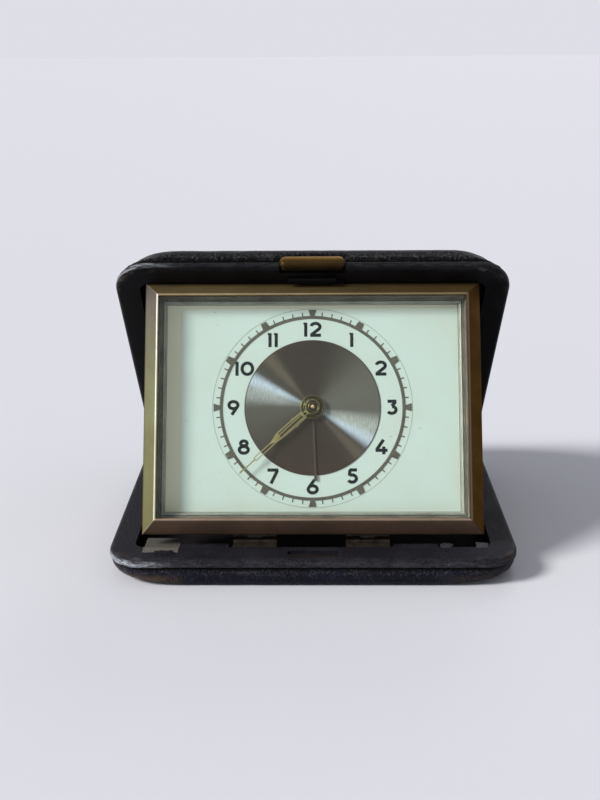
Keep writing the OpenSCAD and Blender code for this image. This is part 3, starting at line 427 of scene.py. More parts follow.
def carved(piece: Piece, place: Placing, low: Triple, high: Triple) -> Piece:
    """Take a box out of a piece, as a Boolean difference whose result becomes the piece's mesh.

    Args:
        piece: the closed piece.
        place: the axes in which the box lies square.
        low: the box's lowest corner in mm.
        high: its highest corner.

    Returns:
        The piece.
    """
    sharp = math.radians(50)
    ends = np.array([low, high], float)
    pick = np.array([(i, j, k) for i in (0, 1) for j in (0, 1) for k in (0, 1)])
    sides = [(0, 1, 3, 2), (4, 6, 7, 5), (0, 4, 5, 1), (2, 3, 7, 6), (0, 2, 6, 4), (1, 5, 7, 3)]
    box = (ends[pick, np.arange(3)], sides)
    cutter = mesh_piece(piece.name + "_cutter", box, place, DARK_STEEL, smooth=False)
    carve = piece.modifiers.new("carve", "BOOLEAN")
    carve.object, carve.operation, carve.solver = cutter, "DIFFERENCE", "EXACT"
    bpy.context.view_layer.update()
    made = bpy.data.meshes.new_from_object(piece.evaluated_get(bpy.context.evaluated_depsgraph_get()))
    piece.modifiers.clear()
    piece.data = made
    bpy.data.objects.remove(cutter)
    made.set_sharp_from_angle(angle=sharp)
    return piece


# Shader graphs


class Graph:
    """A node tree with short calls for adding and joining nodes."""

    def __init__(self, tree: bpy.types.NodeTree) -> None:
        """Keep the tree."""
        self.tree = tree

    def fill(self, node: Node, inputs: dict) -> Node:
        """Join a node's inputs to sockets, or give them values.

        Args:
            node: the node.
            inputs: input name or index to a value or a socket.

        Returns:
            The node.
        """
        for key, value in inputs.items():
            if isinstance(value, Socket):
                self.tree.links.new(value, node.inputs[key])
            else:
                node.inputs[key].default_value = value
        return node

    def add(self, kind: str, inputs: dict | None = None, **settings) -> Node:
        """Add a node, set its properties and fill its inputs.

        Args:
            kind: the node's type name.
            inputs: input name or index to a value or a socket.
            settings: properties of the node.

        Returns:
            The node.
        """
        node = self.tree.nodes.new(kind)
        for key, value in settings.items():
            setattr(node, key, value)
        return self.fill(node, inputs or {})

    def use(self, group: bpy.types.NodeTree, **inputs: float | Socket) -> Node:
        """Place a shared group and fill its inputs, whose names have spaces for underscores."""
        node = self.add("ShaderNodeGroup", node_tree=group)
        return self.fill(node, {key.replace("_", " "): value for key, value in inputs.items()})

    def calc(self, operation: str, *values: float | Socket, clamp: bool = False) -> Socket:
        """A Math node's result."""
        return self.add("ShaderNodeMath", dict(enumerate(values)), operation=operation, use_clamp=clamp).outputs[0]

    def times(self, first: float | Socket, *more: float | Socket) -> Socket:
        """The product of two or more values."""
        for value in more:
            first = self.calc("MULTIPLY", first, value)
        return first

    def plus(self, first: float | Socket, second: float | Socket) -> Socket:
        """The sum of two values."""
        return self.calc("ADD", first, second)

    def minus(self, first: float | Socket, second: float | Socket) -> Socket:
        """The first value less the second."""
        return self.calc("SUBTRACT", first, second)

    def size(self, value: float | Socket) -> Socket:
        """A value without its sign."""
        return self.calc("ABSOLUTE", value)

    def length(self, x: Socket, y: Socket) -> Socket:
        """The root of the sum of two squares."""
        return self.calc("SQRT", self.plus(self.times(x, x), self.times(y, y)))

    def blend(self, share: float | Socket, first: Colour | Socket, second: Colour | Socket) -> Socket:
        """A mix of two colours by a share, where 0 gives the first."""
        pair = [colour if isinstance(colour, Socket) else rgba(colour) for colour in (first, second)]
        return self.add("ShaderNodeMix", {0: share, 6: pair[0], 7: pair[1]}, data_type="RGBA").outputs[2]

    def noise(self, vector: Socket, scale: float, detail: float = 4.0, rough: float = 0.55) -> Socket:
        """A noise value."""
        return self.add("ShaderNodeTexNoise", {"Vector": vector, "Scale": scale, "Detail": detail,
                                               "Roughness": rough}).outputs[0]

    def span(self, value: Socket, low: float, high: float, to_low: float = 0.0, to_high: float = 1.0) -> Socket:
        """A value carried from one range to another, held inside it."""
        return self.add("ShaderNodeMapRange", {"Value": value, "From Min": low, "From Max": high,
                                               "To Min": to_low, "To Max": to_high}).outputs[0]

    def hump(self, value: Socket, rise: tuple[float, float], fall: tuple[float, float]) -> Socket:
        """One between two ranges: it rises from 0 over the first and falls back over the second."""
        return self.times(self.span(value, *rise), self.span(value, *fall, 1.0, 0.0))

    def local(self, place: Placing) -> Socket:
        """Carry Object coordinates to a sub-assembly's own mm.

        Args:
            place: the sub-assembly's placing.

        Returns:
            The local coordinates.
        """
        coordinate = self.add("ShaderNodeTexCoord").outputs["Object"]
        location, turn = place.mapping()
        scale = (1 / MM,) * 3
        return self.add("ShaderNodeMapping", {"Vector": coordinate, "Location": location, "Rotation": turn,
                                              "Scale": scale}).outputs[0]

    def parts(self, vector: Socket) -> tuple[Socket, ...]:
        """The three numbers of a vector."""
        return tuple(self.add("ShaderNodeSeparateXYZ", {0: vector}).outputs)

    def vector(self, *numbers: float | Socket) -> Socket:
        """A vector of up to three numbers."""
        return self.add("ShaderNodeCombineXYZ", dict(enumerate(numbers))).outputs[0]


def rgba(colour: Colour) -> tuple[float, float, float, float]:
    """The colour with full opacity."""
    return (*colour, 1.0)


def toned(colour: Colour, *shares: float) -> Colour:
    """The colour times one share, or times a share for each of its parts, up to white."""
    return tuple(min(part * share, 1.0) for part, share in zip(colour, shares * (3 // len(shares))))


class Group:
    """A shader node group under construction, with its graph and its ends."""

    def __init__(self, name: str, inputs: dict[str, float | None], outputs: Sequence[str]) -> None:
        """Start the group.

        Args:
            name: the group's name.
            inputs: name to default number, or to None for a vector.
            outputs: names of the numbers that it puts out.
        """
        self.tree = bpy.data.node_groups.new(name, "ShaderNodeTree")
        for key, value in inputs.items():
            kind = "NodeSocketVector" if value is None else "NodeSocketFloat"
            socket = self.tree.interface.new_socket(name=key, in_out="INPUT", socket_type=kind)
            if value is not None:
                socket.default_value = value
        for key in outputs:
            self.tree.interface.new_socket(name=key, in_out="OUTPUT", socket_type="NodeSocketFloat")
        self.graph = Graph(self.tree)
        self.given = self.tree.nodes.new("NodeGroupInput").outputs
        self.end = self.tree.nodes.new("NodeGroupOutput")

    def finish(self, **outputs: Socket) -> bpy.types.NodeTree:
        """Join the outputs, whose names have spaces for underscores, and return the tree."""
        self.graph.fill(self.end, {key.replace("_", " "): value for key, value in outputs.items()})
        return self.tree


class SharedEffects:
    """Shader groups that more than one finish uses, each built once."""

    @staticmethod
    @cache
    def leather_grain() -> bpy.types.NodeTree:
        """Cells parted by creases, bent by noise.

        Returns:
            A group that puts out the height and the mask of the creases.
        """
        group = Group("leather grain", {"Vector": None, "Scale": 1.3, "Bend": 0.5}, ("Height", "Crease"))
        g, given = group.graph, group.given
        place = given["Vector"]
        bend = g.add("ShaderNodeTexNoise", {"Vector": place, "Scale": 0.8, "Detail": 3.0})
        moved = g.add("ShaderNodeVectorMath", {0: bend.outputs[1], 1: (0.5, 0.5, 0.5)}, operation="SUBTRACT")
        sized = g.add("ShaderNodeVectorMath", {0: moved.outputs[0], "Scale": given["Bend"]}, operation="SCALE")
        where = g.add("ShaderNodeVectorMath", {0: place, 1: sized.outputs[0]}, operation="ADD")
        cell = g.add("ShaderNodeTexVoronoi", {"Vector": where.outputs[0], "Scale": given["Scale"]},
                     feature="DISTANCE_TO_EDGE").outputs[0]
        fine = g.noise(place, 6.0, 3.0)
        return group.finish(Height=g.plus(g.span(cell, 0.0, 0.35), g.times(fine, 0.25)),
                            Crease=g.span(cell, 0.0, 0.12, 1.0, 0.0))

    @staticmethod
    @cache
    def edge_wear() -> bpy.types.NodeTree:
        """Rubs and painted highlights of a case edge: nearness to the rounded outline and to the lip, broken up by
        noise.

        Returns:
            A group that puts out masks of the band of rubs and painted highlight, of the corners and of streaks of
            rubs and painted highlight on the wall.
        """
        group = Group("edge wear", {"Vector": None, "Half X": CASE_W / 2, "Half Y": CASE_D / 2,
                                    "Centre Y": CASE_MIDDLE, "Corner": CASE_CORNER, "Lip": 0.0, "Lip Width": 0.9},
                      ("Band Mask", "Corner Mask", "Wall Streaks"))
        g, given = group.graph, group.given
        x, y, z = g.parts(given["Vector"])
        off_x, off_y = g.size(x), g.size(g.minus(y, given["Centre Y"]))
        past_x = g.plus(g.minus(off_x, given["Half X"]), given["Corner"])
        past_y = g.plus(g.minus(off_y, given["Half Y"]), given["Corner"])
        reach = g.length(g.calc("MAXIMUM", past_x, 0.0), g.calc("MAXIMUM", past_y, 0.0))
        inner = g.calc("MINIMUM", g.calc("MAXIMUM", past_x, past_y), 0.0)
        border = g.minus(given["Corner"], g.plus(reach, inner))

        from_lip = g.calc("DIVIDE", g.size(g.minus(z, given["Lip"])), given["Lip Width"])
        band = g.times(g.calc("SUBTRACT", 1.0, from_lip, clamp=True), g.span(border, 0.9, 2.4, 1.0, 0.0))
        drawn = g.vector(g.calc("DIVIDE", x, 3.5), g.calc("DIVIDE", y, 3.5), g.times(z, 1.6))
        rubs = g.span(g.noise(drawn, 0.9, 6.0, 0.8), 0.48, 0.66)
        scuffs = g.span(g.noise(given["Vector"], 0.16, 3.0, 0.5), 0.38, 0.60, 0.25, 1.0)

        wall = g.times(g.span(border, 0.25, 0.7, 1.0, 0.0), g.span(z, 0.4, 1.0))
        streaks = g.span(g.noise(drawn, 1.6, 5.0, 0.75), 0.40, 0.60)
        near_x = g.span(g.minus(given["Half X"], off_x), 3.0, 13.0, 1.0, 0.0)
        near_y = g.span(g.minus(given["Half Y"], off_y), 3.0, 13.0, 1.0, 0.0)
        return group.finish(Band_Mask=g.times(band, rubs, scuffs), Corner_Mask=g.times(near_x, near_y),
                            Wall_Streaks=g.times(streaks, wall))

    @staticmethod
    @cache
    def patina() -> bpy.types.NodeTree:
        """Tarnish blotches, fine specks and brushed streaks of old metal.

        Returns:
            A group that puts out a mask of each.
        """
        group = Group("patina", {"Vector": None, "Scale": 0.12, "Speck": 1.5, "Stretch": 12.0},
                      ("Blotch", "Specks", "Streak"))
        g, given = group.graph, group.given
        place = given["Vector"]
        large = g.add("ShaderNodeTexNoise", {"Vector": place, "Scale": given["Scale"], "Detail": 6.0,
                                             "Roughness": 0.62}).outputs[0]
        speck = g.add("ShaderNodeTexNoise", {"Vector": place, "Scale": given["Speck"], "Detail": 2.0}).outputs[0]
        x, y, z = g.parts(place)
        brushed = g.vector(g.calc("DIVIDE", x, given["Stretch"]), y, z)
        return group.finish(Blotch=g.span(large, 0.38, 0.66), Specks=g.span(speck, 0.62, 0.74),
                            Streak=g.noise(brushed, 3.0, 4.0, 0.7))


# Finishes


@dataclass(frozen=True)
class Finish:
    """A named finish, built as a material the first time it is used."""

    name: str

    def material(self) -> bpy.types.Material:
        """Build the finish's material, or find the one that is there.

        Returns:
            The material.
        """
        found = bpy.data.materials.get("fx_" + self.name)
        if found is not None:
            return found
        made = bpy.data.materials.new("fx_" + self.name)
        made.use_nodes = True
        made.node_tree.nodes.clear()
        graph = Graph(made.node_tree)
        shader = graph.add("ShaderNodeBsdfPrincipled")
        surface = self.dress(graph, shader) or shader.outputs[0]
        graph.add("ShaderNodeOutputMaterial", {"Surface": surface})
        return made

    def dress(self, g: Graph, shader: Node) -> Socket | None:
        """Join the finish's colours and relief to the shader.

        Args:
            g: the material's graph.
            shader: its Principled node.

        Returns:
            Another shader's output where the surface isn't the Principled node's own.
        """
        raise NotImplementedError

    def relief(self, g: Graph, shader: Node, height: Socket, strength: float, depth_mm: float) -> None:
        """Join a height to the shader's normal through a Bump node."""
        bump = g.add("ShaderNodeBump", {"Height": height, "Strength": strength, "Distance": depth_mm * MM})
        g.fill(shader, {"Normal": bump.outputs[0]})


@dataclass(frozen=True)
class Leather(Finish):
    """Black grained leather with pale rubs and painted highlights along its edges, painted shade in its creases, and
    brown torn corners.

    The shares torn, silver, scuffed, creased and rubbed say how strong each mark is: torn and scuffed are damage,
    silver is silver rubs with a painted highlight, creased is a painted highlight on folds, and rubbed is pale rubs
    with a painted highlight along the edge. A negative silver or scuffed puts it on the side of negative x.
    """

    place: Placing = BASE
    colour: Colour = (0.0055, 0.0056, 0.0085)
    light: Colour = (0.017, 0.018, 0.026)
    crease: Colour = (0.003, 0.003, 0.004)
    worn: Colour = (0.20, 0.18, 0.17)
    bare: Colour = (0.075, 0.042, 0.022)
    scuff: Colour = (0.085, 0.055, 0.036)
    fold: Colour = (0.105, 0.108, 0.120)
    gap: Colour = (0.001, 0.001, 0.0012)
    rubbed_through: Colour = (0.50, 0.53, 0.58)
    lip: float = 0.0
    lip_width: float = 0.9
    rubbed: float = 0.35
    grain_scale: float = 1.5
    grain_mm: float = 0.09
    rough: float = 0.44
    shine: float = 0.15
    torn: float = 0.7
    silver: float = 0.0
    scuffed: float = 0.0
    seam: float = 0.0
    creased: float = 0.0

    def dress(self, g: Graph, shader: Node) -> None:
        """Painted shade fills the grain's creases, the outline's band gets pale rubs with a painted highlight, corners
        go brown.

        Args:
            g: the material's graph.
            shader: its Principled node.
        """
        where = g.local(self.place)
        grain = g.use(SharedEffects.leather_grain(), Vector=where, Scale=self.grain_scale, Bend=1.1).outputs
        rubs_and_highlights = g.use(SharedEffects.edge_wear(), Vector=where, Lip=self.lip, Lip_Width=self.lip_width).outputs
        patches = g.span(g.noise(where, 0.09, 5.0, 0.6), 0.42, 0.70)
        tone = g.blend(patches, self.colour, self.light)
        # Painted shade in the grain's creases.
        tone = g.blend(g.times(grain["Crease"], 0.55), tone, self.crease)
        corner = rubs_and_highlights["Corner Mask"]
        # Pale rubs along the outline's band, which also carry a painted highlight.
        tone = g.blend(g.times(rubs_and_highlights["Band Mask"], g.plus(g.times(corner, 0.65), self.rubbed)), tone, self.worn)
        torn = g.times(corner, g.span(g.noise(where, 0.20, 5.0, 0.7), 0.58, 0.66), self.torn)
        tone = g.blend(torn, tone, self.bare)
        speckle = g.span(g.noise(where, 2.6, 4.0, 0.7), 0.48, 0.62, 0.0, 0.45)
        tone = g.blend(speckle, tone, toned((self.light[0],) * 3, 2.0, 1.85, 1.8))
        height = grain["Height"]
        if self.scuffed:
            tone = g.blend(self.scuffs(g, where), tone, self.scuff)
        # Folds raise the relief and carry a painted highlight.
        if self.creased:
            folds = self.folds(g, where)
            tone = g.blend(g.times(folds, self.creased), tone, self.fold)
            height = g.plus(height, folds)
        # Painted shade in the crevice beside the rim, along the seam.
        if self.seam:
            depth = g.parts(where)[2]
            tone = g.blend(g.span(depth, self.seam + 0.2, self.seam + 0.9, 0.92, 0.0), tone, self.gap)
        # Silver rubs near one front corner, with a painted highlight on them.
        if self.silver:
            tone = g.blend(g.times(rubs_and_highlights["Wall Streaks"], self.bright_side(g, where)), tone, self.rubbed_through)
        g.fill(shader, {"Base Color": tone, "Specular IOR Level": self.shine,
                        "Roughness": g.span(patches, 0, 1, self.rough - 0.06, self.rough + 0.12)})
        self.relief(g, shader, height, 0.75, self.grain_mm)

    def scuffs(self, g: Graph, where: Socket) -> Socket:
        """Brown scuffs on the pad's corners: nearness to the corner below the seam, broken up by noise.

        Args:
            g: the material's graph.
            where: local coordinates.

        Returns:
            Their share.
        """
        x, y, z = g.parts(where)
        off_y = g.size(g.minus(y, CASE_MIDDLE))
        to_corner = g.minus((CASE_W + CASE_D) / 2, g.plus(g.size(x), off_y))
        bevel = g.times(g.span(to_corner, 16.0, 23.0, 1.0, 0.0), g.span(z, 4.4, 5.6))
        side = g.span(g.times(x, math.copysign(1.0, self.scuffed)), 0.0, 10.0, 0.35, 1.0)
        rub = g.span(g.noise(where, 0.5, 5.0, 0.7), 0.36, 0.56, 0.2, 1.0)
        return g.times(bevel, side, rub, abs(self.scuffed))

    def folds(self, g: Graph, where: Socket) -> Socket:
        """Short folds over the pad's front: noise drawn out across the seam, weaker away from it.

        Args:
            g: the material's graph.
            where: local coordinates.

        Returns:
            Their height from 0 to 1.
        """
        x, y, z = g.parts(where)
        across = g.vector(g.times(x, 1.3), g.times(y, 0.3), g.times(z, 0.75))
        lines = g.span(g.noise(across, 1.0, 4.0, 0.65), 0.53, 0.68)
        return g.times(lines, g.span(y, 76.0, 86.0), g.span(z, 3.6, 7.6, 1.0, 0.25))

    def bright_side(self, g: Graph, where: Socket) -> Socket:
        """Where the rim gets silver rubs with a painted highlight: near one front corner.

        Args:
            g: the material's graph.
            where: local coordinates.

        Returns:
            Its share.
        """
        x, y, _ = g.parts(where)
        side = g.span(g.times(x, math.copysign(1.0, self.silver)), 38.0, 50.0, 0.06, 1.0)
        return g.times(side, g.span(y, 62.0, 80.0), abs(self.silver))


@dataclass(frozen=True)
class Lining(Finish):
    """Dull dark lining cloth with a faint weave and dust."""

    place: Placing = BASE
    cloth: Colour = (0.007, 0.006, 0.007)
    dust: Colour = (0.018, 0.016, 0.016)
    shade: Colour = (0.004, 0.004, 0.005)

    def dress(self, g: Graph, shader: Node) -> None:
        """Two crossing waves give the weave, and noise gives the dust.

        Args:
            g: the material's graph.
            shader: its Principled node.
        """
        where = g.local(self.place)
        waves = [g.add("ShaderNodeTexWave", {"Vector": where, "Scale": 1.1, "Distortion": 0.4, "Detail": 1.0},
                       bands_direction=axis).outputs[1] for axis in ("X", "Y")]
        weave = g.times(*waves)
        tone = g.blend(g.span(g.noise(where, 0.15, 6.0, 0.7), 0.45, 0.75), self.cloth, self.dust)
        tone = g.blend(g.times(weave, 0.3), tone, self.shade)
        g.fill(shader, {"Base Color": tone, "Roughness": 0.88, "Specular IOR Level": 0.08})
        self.relief(g, shader, weave, 0.4, 0.05)


@dataclass(frozen=True)
class OldBrass(Finish):
    """Brass or steel with patina. Blotches darken it, specks spot it and streaks vary its gloss; on a button, shade
    and a highlight are painted by depth.
    """

    place: Placing = CLOCK
    colour: Colour = (0.55, 0.42, 0.18)
    tarnish: Colour = (0.22, 0.16, 0.09)
    metal: float = 0.9
    rough: float = 0.34
    scale: float = 0.12
    amount: float = 0.7
    shine: float = 0.3
    # Whether shade and a highlight are painted on a button by its depth.
    fade: bool = False

    def dress(self, g: Graph, shader: Node) -> None:
        """Join the patina group to colour, roughness and relief, and paint a button's shade and highlight by its
        depth.

        Args:
            g: the material's graph.
            shader: its Principled node.
        """
        where = g.local(self.place)
        patina = g.use(SharedEffects.patina(), Vector=where, Scale=self.scale, Speck=1.6).outputs
        mask = g.times(patina["Blotch"], self.amount)
        tone = g.blend(mask, self.colour, self.tarnish)
        tone = g.blend(g.times(patina["Specks"], 0.6), tone, toned(self.tarnish, 0.35))
        if self.fade:
            depth = g.parts(where)[2]
            # Painted shade along the button's edge nearest the lid's mouth, and a painted highlight along its ridge.
            tone = g.blend(g.span(depth, 0.1, 1.5, 0.75, 0.0), tone, toned(self.tarnish, 0.12))
            crest_highlight = g.hump(depth, (2.1, 2.8), (3.2, 3.9))
            tone = g.blend(g.times(crest_highlight, 0.8), tone, toned(self.colour, 3.2))
        gloss = g.plus(g.span(patina["Streak"], 0.3, 0.7, -0.07, 0.09), self.rough)
        g.fill(shader, {"Base Color": tone, "Metallic": self.metal, "Specular IOR Level": self.shine,
                        "Roughness": g.plus(gloss, g.times(mask, 0.15))})
        self.relief(g, shader, patina["Streak"], 0.25, 0.02)


@dataclass(frozen=True)
class GiltFrame(Finish):
    """Gilt of the mitred frame, whose bevel tones paint light and shade with the tarnish: bright on the left bevel,
    grey gold on top, brown on the right and below.
    """

    # Bevel tones, which paint each bevel's light and shade together with its tarnish.
    left: Colour = (0.270, 0.290, 0.150)
    left_high: Colour = (0.180, 0.164, 0.150)
    left_low: Colour = (0.155, 0.130, 0.052)
    top: Colour = (0.33, 0.245, 0.115)
    right: Colour = (0.050, 0.023, 0.002)
    below: Colour = (0.30, 0.20, 0.14)
    rim: Colour = (0.02, 0.015, 0.01)
    # Painted highlight along the inner lip, and painted highlight and shade along the mitres.
    lip: Colour = (0.72, 0.70, 0.62)
    bright_mitre: Colour = (0.62, 0.58, 0.46)
    dark_mitre: Colour = (0.03, 0.02, 0.012)
    blotch: Colour = (0.13, 0.09, 0.05)
    speck: Colour = (0.05, 0.04, 0.03)
    tint: Colour = (0.70, 0.52, 0.30)

    def dress(self, g: Graph, shader: Node) -> None:
        """Each bevel is found by which outline is nearer, and has its own tone of painted light and shade under shared
        patina.

        Args:
            g: the material's graph.
            shader: its Principled node.
        """
        where = g.local(CLOCK)
        x, y, _ = g.parts(where)
        on_right = g.calc("GREATER_THAN", x, 0.0)
        near_side, near_end = g.minus(FRAME_W / 2, g.size(x)), g.minus(FRAME_H / 2, g.size(y))
        on_side = g.calc("LESS_THAN", near_side, near_end)
        inset = g.calc("MINIMUM", near_side, near_end)
        # The left bevel is painted lit and darker towards both ends; the top bevel is painted darker towards the
        # right.
        left = g.blend(g.span(y, 0.0, 32.0), self.left, self.left_high)
        left = g.blend(g.span(y, -34.0, 0.0, 0.60, 0.0), left, self.left_low)
        top = g.blend(g.span(x, -30.0, 30.0), self.top, toned(self.top, 0.54, 0.51, 0.40))
        ends = g.blend(g.calc("GREATER_THAN", y, 0.0), self.below, top)
        tone = g.blend(on_side, ends, g.blend(on_right, left, self.right))
        tone = g.blend(g.span(inset, 0.0, 0.45, 0.65, 0.0), tone, self.rim)
        # A painted highlight along the inner lip, strongest on the left bevel.
        lit = g.calc("MAXIMUM", g.times(g.calc("LESS_THAN", x, 0.0), on_side), 0.18)
        lip = g.times(g.hump(inset, (3.55, 3.75), (4.05, 4.25)), lit, 0.75)
        tone = g.blend(lip, tone, self.lip)
        # A painted highlight on the left mitres and painted shade on the right ones.
        mitre = g.span(g.size(g.minus(near_side, near_end)), 0.04, 0.28, 0.55, 0.0)
        tone = g.blend(mitre, tone, g.blend(on_right, self.bright_mitre, self.dark_mitre))
        patina = g.use(SharedEffects.patina(), Vector=where, Scale=0.10, Speck=2.2).outputs
        tone = g.blend(g.times(patina["Blotch"], 0.30), tone, self.blotch)
        tone = g.blend(g.times(patina["Specks"], 0.45), tone, self.speck)
        g.fill(shader, {"Base Color": tone, "Metallic": 0.80, "Specular Tint": rgba(self.tint),
                        "Specular IOR Level": 0.2, "Roughness": g.span(patina["Streak"], 0.3, 0.7, 0.34, 0.50)})
        self.relief(g, shader, patina["Streak"], 0.2, 0.02)


@dataclass(frozen=True)
class DialPaint(Finish):
    """Pale green enamel with faint stains and specks, a darker, yellower tone towards the border, and a painted
    reflection of the frame's brass in the frame's shadow.
    """

    half_x: float = 43.3
    half_y: float = 31.3
    colour: Colour = (0.560, 0.692, 0.628)
    stain: Colour = (0.54, 0.56, 0.44)
    glow: Colour = (0.75, 0.78, 0.59)
    speck: Colour = (0.16, 0.13, 0.08)

    def dress(self, g: Graph, shader: Node) -> None:
        """The stain colour is blended in clouds and within 5 mm of the border, specks are strewn over, and a
        reflection of the frame's brass is painted where the frame's shadow falls.

        Args:
            g: the material's graph.
            shader: its Principled node.
        """
        where = g.local(CLOCK)
        x, y, _ = g.parts(where)
        border = g.calc("MINIMUM", g.minus(self.half_x, g.size(x)), g.minus(self.half_y, g.size(y)))
        cloud = g.span(g.noise(where, 0.06, 5.0, 0.6), 0.40, 0.75)
        # Stains in clouds, and the same colour within 5 mm of the border.
        tone = g.blend(g.plus(g.times(cloud, 0.35), g.span(border, 0.0, 5.0, 0.45, 0.0)), self.colour, self.stain)
        # A warm reflection of the frame's brass, painted in the band where the frame's shadow falls.
        shaded = g.calc("MAXIMUM", g.span(x, -36.3, -37.7), g.span(y, 27.3, 28.9))
        tone = g.blend(shaded, tone, self.glow)
        specks = g.span(g.noise(where, 0.9, 2.0, 0.5), 0.735, 0.78)
        tone = g.blend(g.times(specks, 0.55), tone, self.speck)
        g.fill(shader, {"Base Color": tone, "Roughness": 0.42, "Specular IOR Level": 0.3})
        self.relief(g, shader, g.noise(where, 0.8, 3.0), 0.08, 0.03)


class Ray(NamedTuple):
    """A sheen painted on the spun disc: its direction and half width in degrees, its weight and its colour."""

    degrees: float
    half_width: float
    weight: float
    tint: Colour


@dataclass(frozen=True)
class SpunMetal(Finish):
    """Spun disc: fine rings, with painted sheens that fan out from the middle along two opposite rays."""

    radius: float = 19.0
    dark: Colour = (0.037, 0.034, 0.021)
    warm: Colour = (0.054, 0.036, 0.024)
    groove: Colour = (0.022, 0.020, 0.016)
    stain: Colour = (0.10, 0.07, 0.055)
    edge: Colour = (0.06, 0.045, 0.035)
    # Painted sheens: broad ones first, then narrow bright ones.
    soft: tuple[Ray, ...] = (
        Ray(15.0, 42.0, 1.0, (0.150, 0.154, 0.124)),
        Ray(176.0, 34.0, 1.0, (0.115, 0.115, 0.092)),
        Ray(96.0, 30.0, 1.0, (0.045, 0.037, 0.027)),
    )
    bright: tuple[Ray, ...] = (
        Ray(155.5, 5.0, 0.95, (0.70, 0.87, 0.98)),
        Ray(165.0, 8.0, 0.66, (0.60, 0.68, 0.64)),
        Ray(-29.0, 5.5, 0.95, (0.70, 0.87, 0.98)),
        Ray(-18.5, 8.5, 0.72, (0.66, 0.74, 0.66)),
        Ray(131.0, 5.0, 0.20, (0.50, 0.42, 0.27)),
        Ray(-46.0, 4.0, 0.20, (0.40, 0.34, 0.24)),
    )

    def dress(self, g: Graph, shader: Node) -> None:
        """The angle round the middle sets the painted sheen, and the distance from it sets the rings.

        Args:
            g: the material's graph.
            shader: its Principled node.
        """
        where = g.local(CLOCK)
        x, y, _ = g.parts(where)
        angle, radius = g.calc("ARCTAN2", y, x), g.length(x, y)
        rings = g.noise(g.vector(g.times(radius, 3.0)), 2.2, 6.0, 0.8)
        fine = g.noise(g.vector(g.times(x, 4.0), g.times(y, 0.5)), 1.0, 3.0, 0.7)
        mottle = g.times(g.plus(rings, fine), 0.5)
        tone = g.blend(g.span(y, -19.0, 2.0), self.warm, self.dark)
        # Broad sheens painted over the base tone.
        for ray in self.soft:
            tone = g.blend(self.lobe(g, angle, ray), tone, ray.tint)
        # Narrow bright sheens painted along the rays, weaker near the middle and broken up by the rings.
        far = g.span(radius, 2.5, 9.5, 0.25, 1.0)
        for ray in self.bright:
            share = g.times(self.lobe(g, angle, ray), far, ray.weight, g.span(mottle, 0.3, 0.7, 0.62, 1.15))
            tone = g.blend(share, tone, ray.tint)
        tone = g.blend(g.span(mottle, 0.35, 0.65, 0.42, 0.0), tone, self.groove)
        stain = g.span(g.noise(where, 0.28, 4.0, 0.6), 0.62, 0.75)
        tone = g.blend(g.times(stain, 0.3), tone, self.stain)
        tone = g.blend(g.span(radius, self.radius - 0.15, self.radius + 0.05), tone, self.edge)
        g.fill(shader, {"Base Color": tone, "Metallic": 0.35, "Specular IOR Level": 0.25, "Roughness": 0.42})
        self.relief(g, shader, mottle, 0.3, 0.02)

    @staticmethod
    def lobe(g: Graph, angle: Socket, ray: Ray) -> Socket:
        """A soft lobe round the disc's middle, one on its ray and zero beyond twice its half width.

        Args:
            g: the material's graph.
            angle: the angle round the middle.
            ray: the sheen.

        Returns:
            The lobe's share.
        """
        near = g.calc("COSINE", g.minus(angle, math.radians(ray.degrees)))
        rise = g.span(near, math.cos(math.radians(ray.half_width * 2.0)), 1.0)
        return g.times(rise, rise)


@dataclass(frozen=True)
class PlainInk(Finish):
    """Printing ink, almost black, a little uneven."""

    colour: Colour = (0.006, 0.009, 0.009)

    def dress(self, g: Graph, shader: Node) -> None:
        """Noise varies the tone slightly."""
        tone = g.blend(g.noise(g.local(CLOCK), 1.4, 3.0), self.colour, toned(self.colour, 2.1))
        g.fill(shader, {"Base Color": tone, "Roughness": 0.5, "Specular IOR Level": 0.12})


@dataclass(frozen=True)
class ClearGlass(Finish):
    """Old flat glass, which lets lamps through and mirrors a little."""

    body: Colour = (0.97, 0.99, 0.98)
    through: Colour = (0.985, 0.99, 0.985)

    def dress(self, g: Graph, shader: Node) -> Socket:
        """The eye sees real refraction and mirroring, while lamp and bounce rays pass straight through.

        Args:
            g: the material's graph.
            shader: its Principled node.

        Returns:
            The mixed surface.
        """
        g.fill(shader, {"Base Color": rgba(self.body), "Roughness": 0.015, "IOR": 1.22, "Transmission Weight": 1.0})
        clear = g.add("ShaderNodeBsdfTransparent", {"Color": rgba(self.through)})
        path = g.add("ShaderNodeLightPath").outputs
        passing = g.calc("MAXIMUM", path["Is Shadow Ray"], path["Is Diffuse Ray"])
        mixed = g.add("ShaderNodeMixShader", {0: passing, 1: shader.outputs[0], 2: clear.outputs[0]})
        return mixed.outputs[0]


@dataclass(frozen=True)
class Board(Finish):
    """Bare board where the leather has peeled off the rail."""

    colour: Colour = (0.13, 0.115, 0.10)

    def dress(self, g: Graph, shader: Node) -> None:
        """Fibres over the board, which is darker on the part that lies deeper.

        Args:
            g: the material's graph.
            shader: its Principled node.
        """
        where = g.local(BASE)
        fibre = g.noise(where, 1.2, 8.0, 0.75)
        share = g.span(fibre, 0.35, 0.65)
        high = g.blend(share, toned(self.colour, 0.6), self.colour)
        deep = g.blend(share, toned(self.colour, 0.42), toned(self.colour, 0.62))
        tone = g.blend(g.span(g.parts(where)[2], 0.1, 0.6), high, deep)
        g.fill(shader, {"Base Color": tone, "Roughness": 0.85})
        self.relief(g, shader, fibre, 0.8, 0.15)


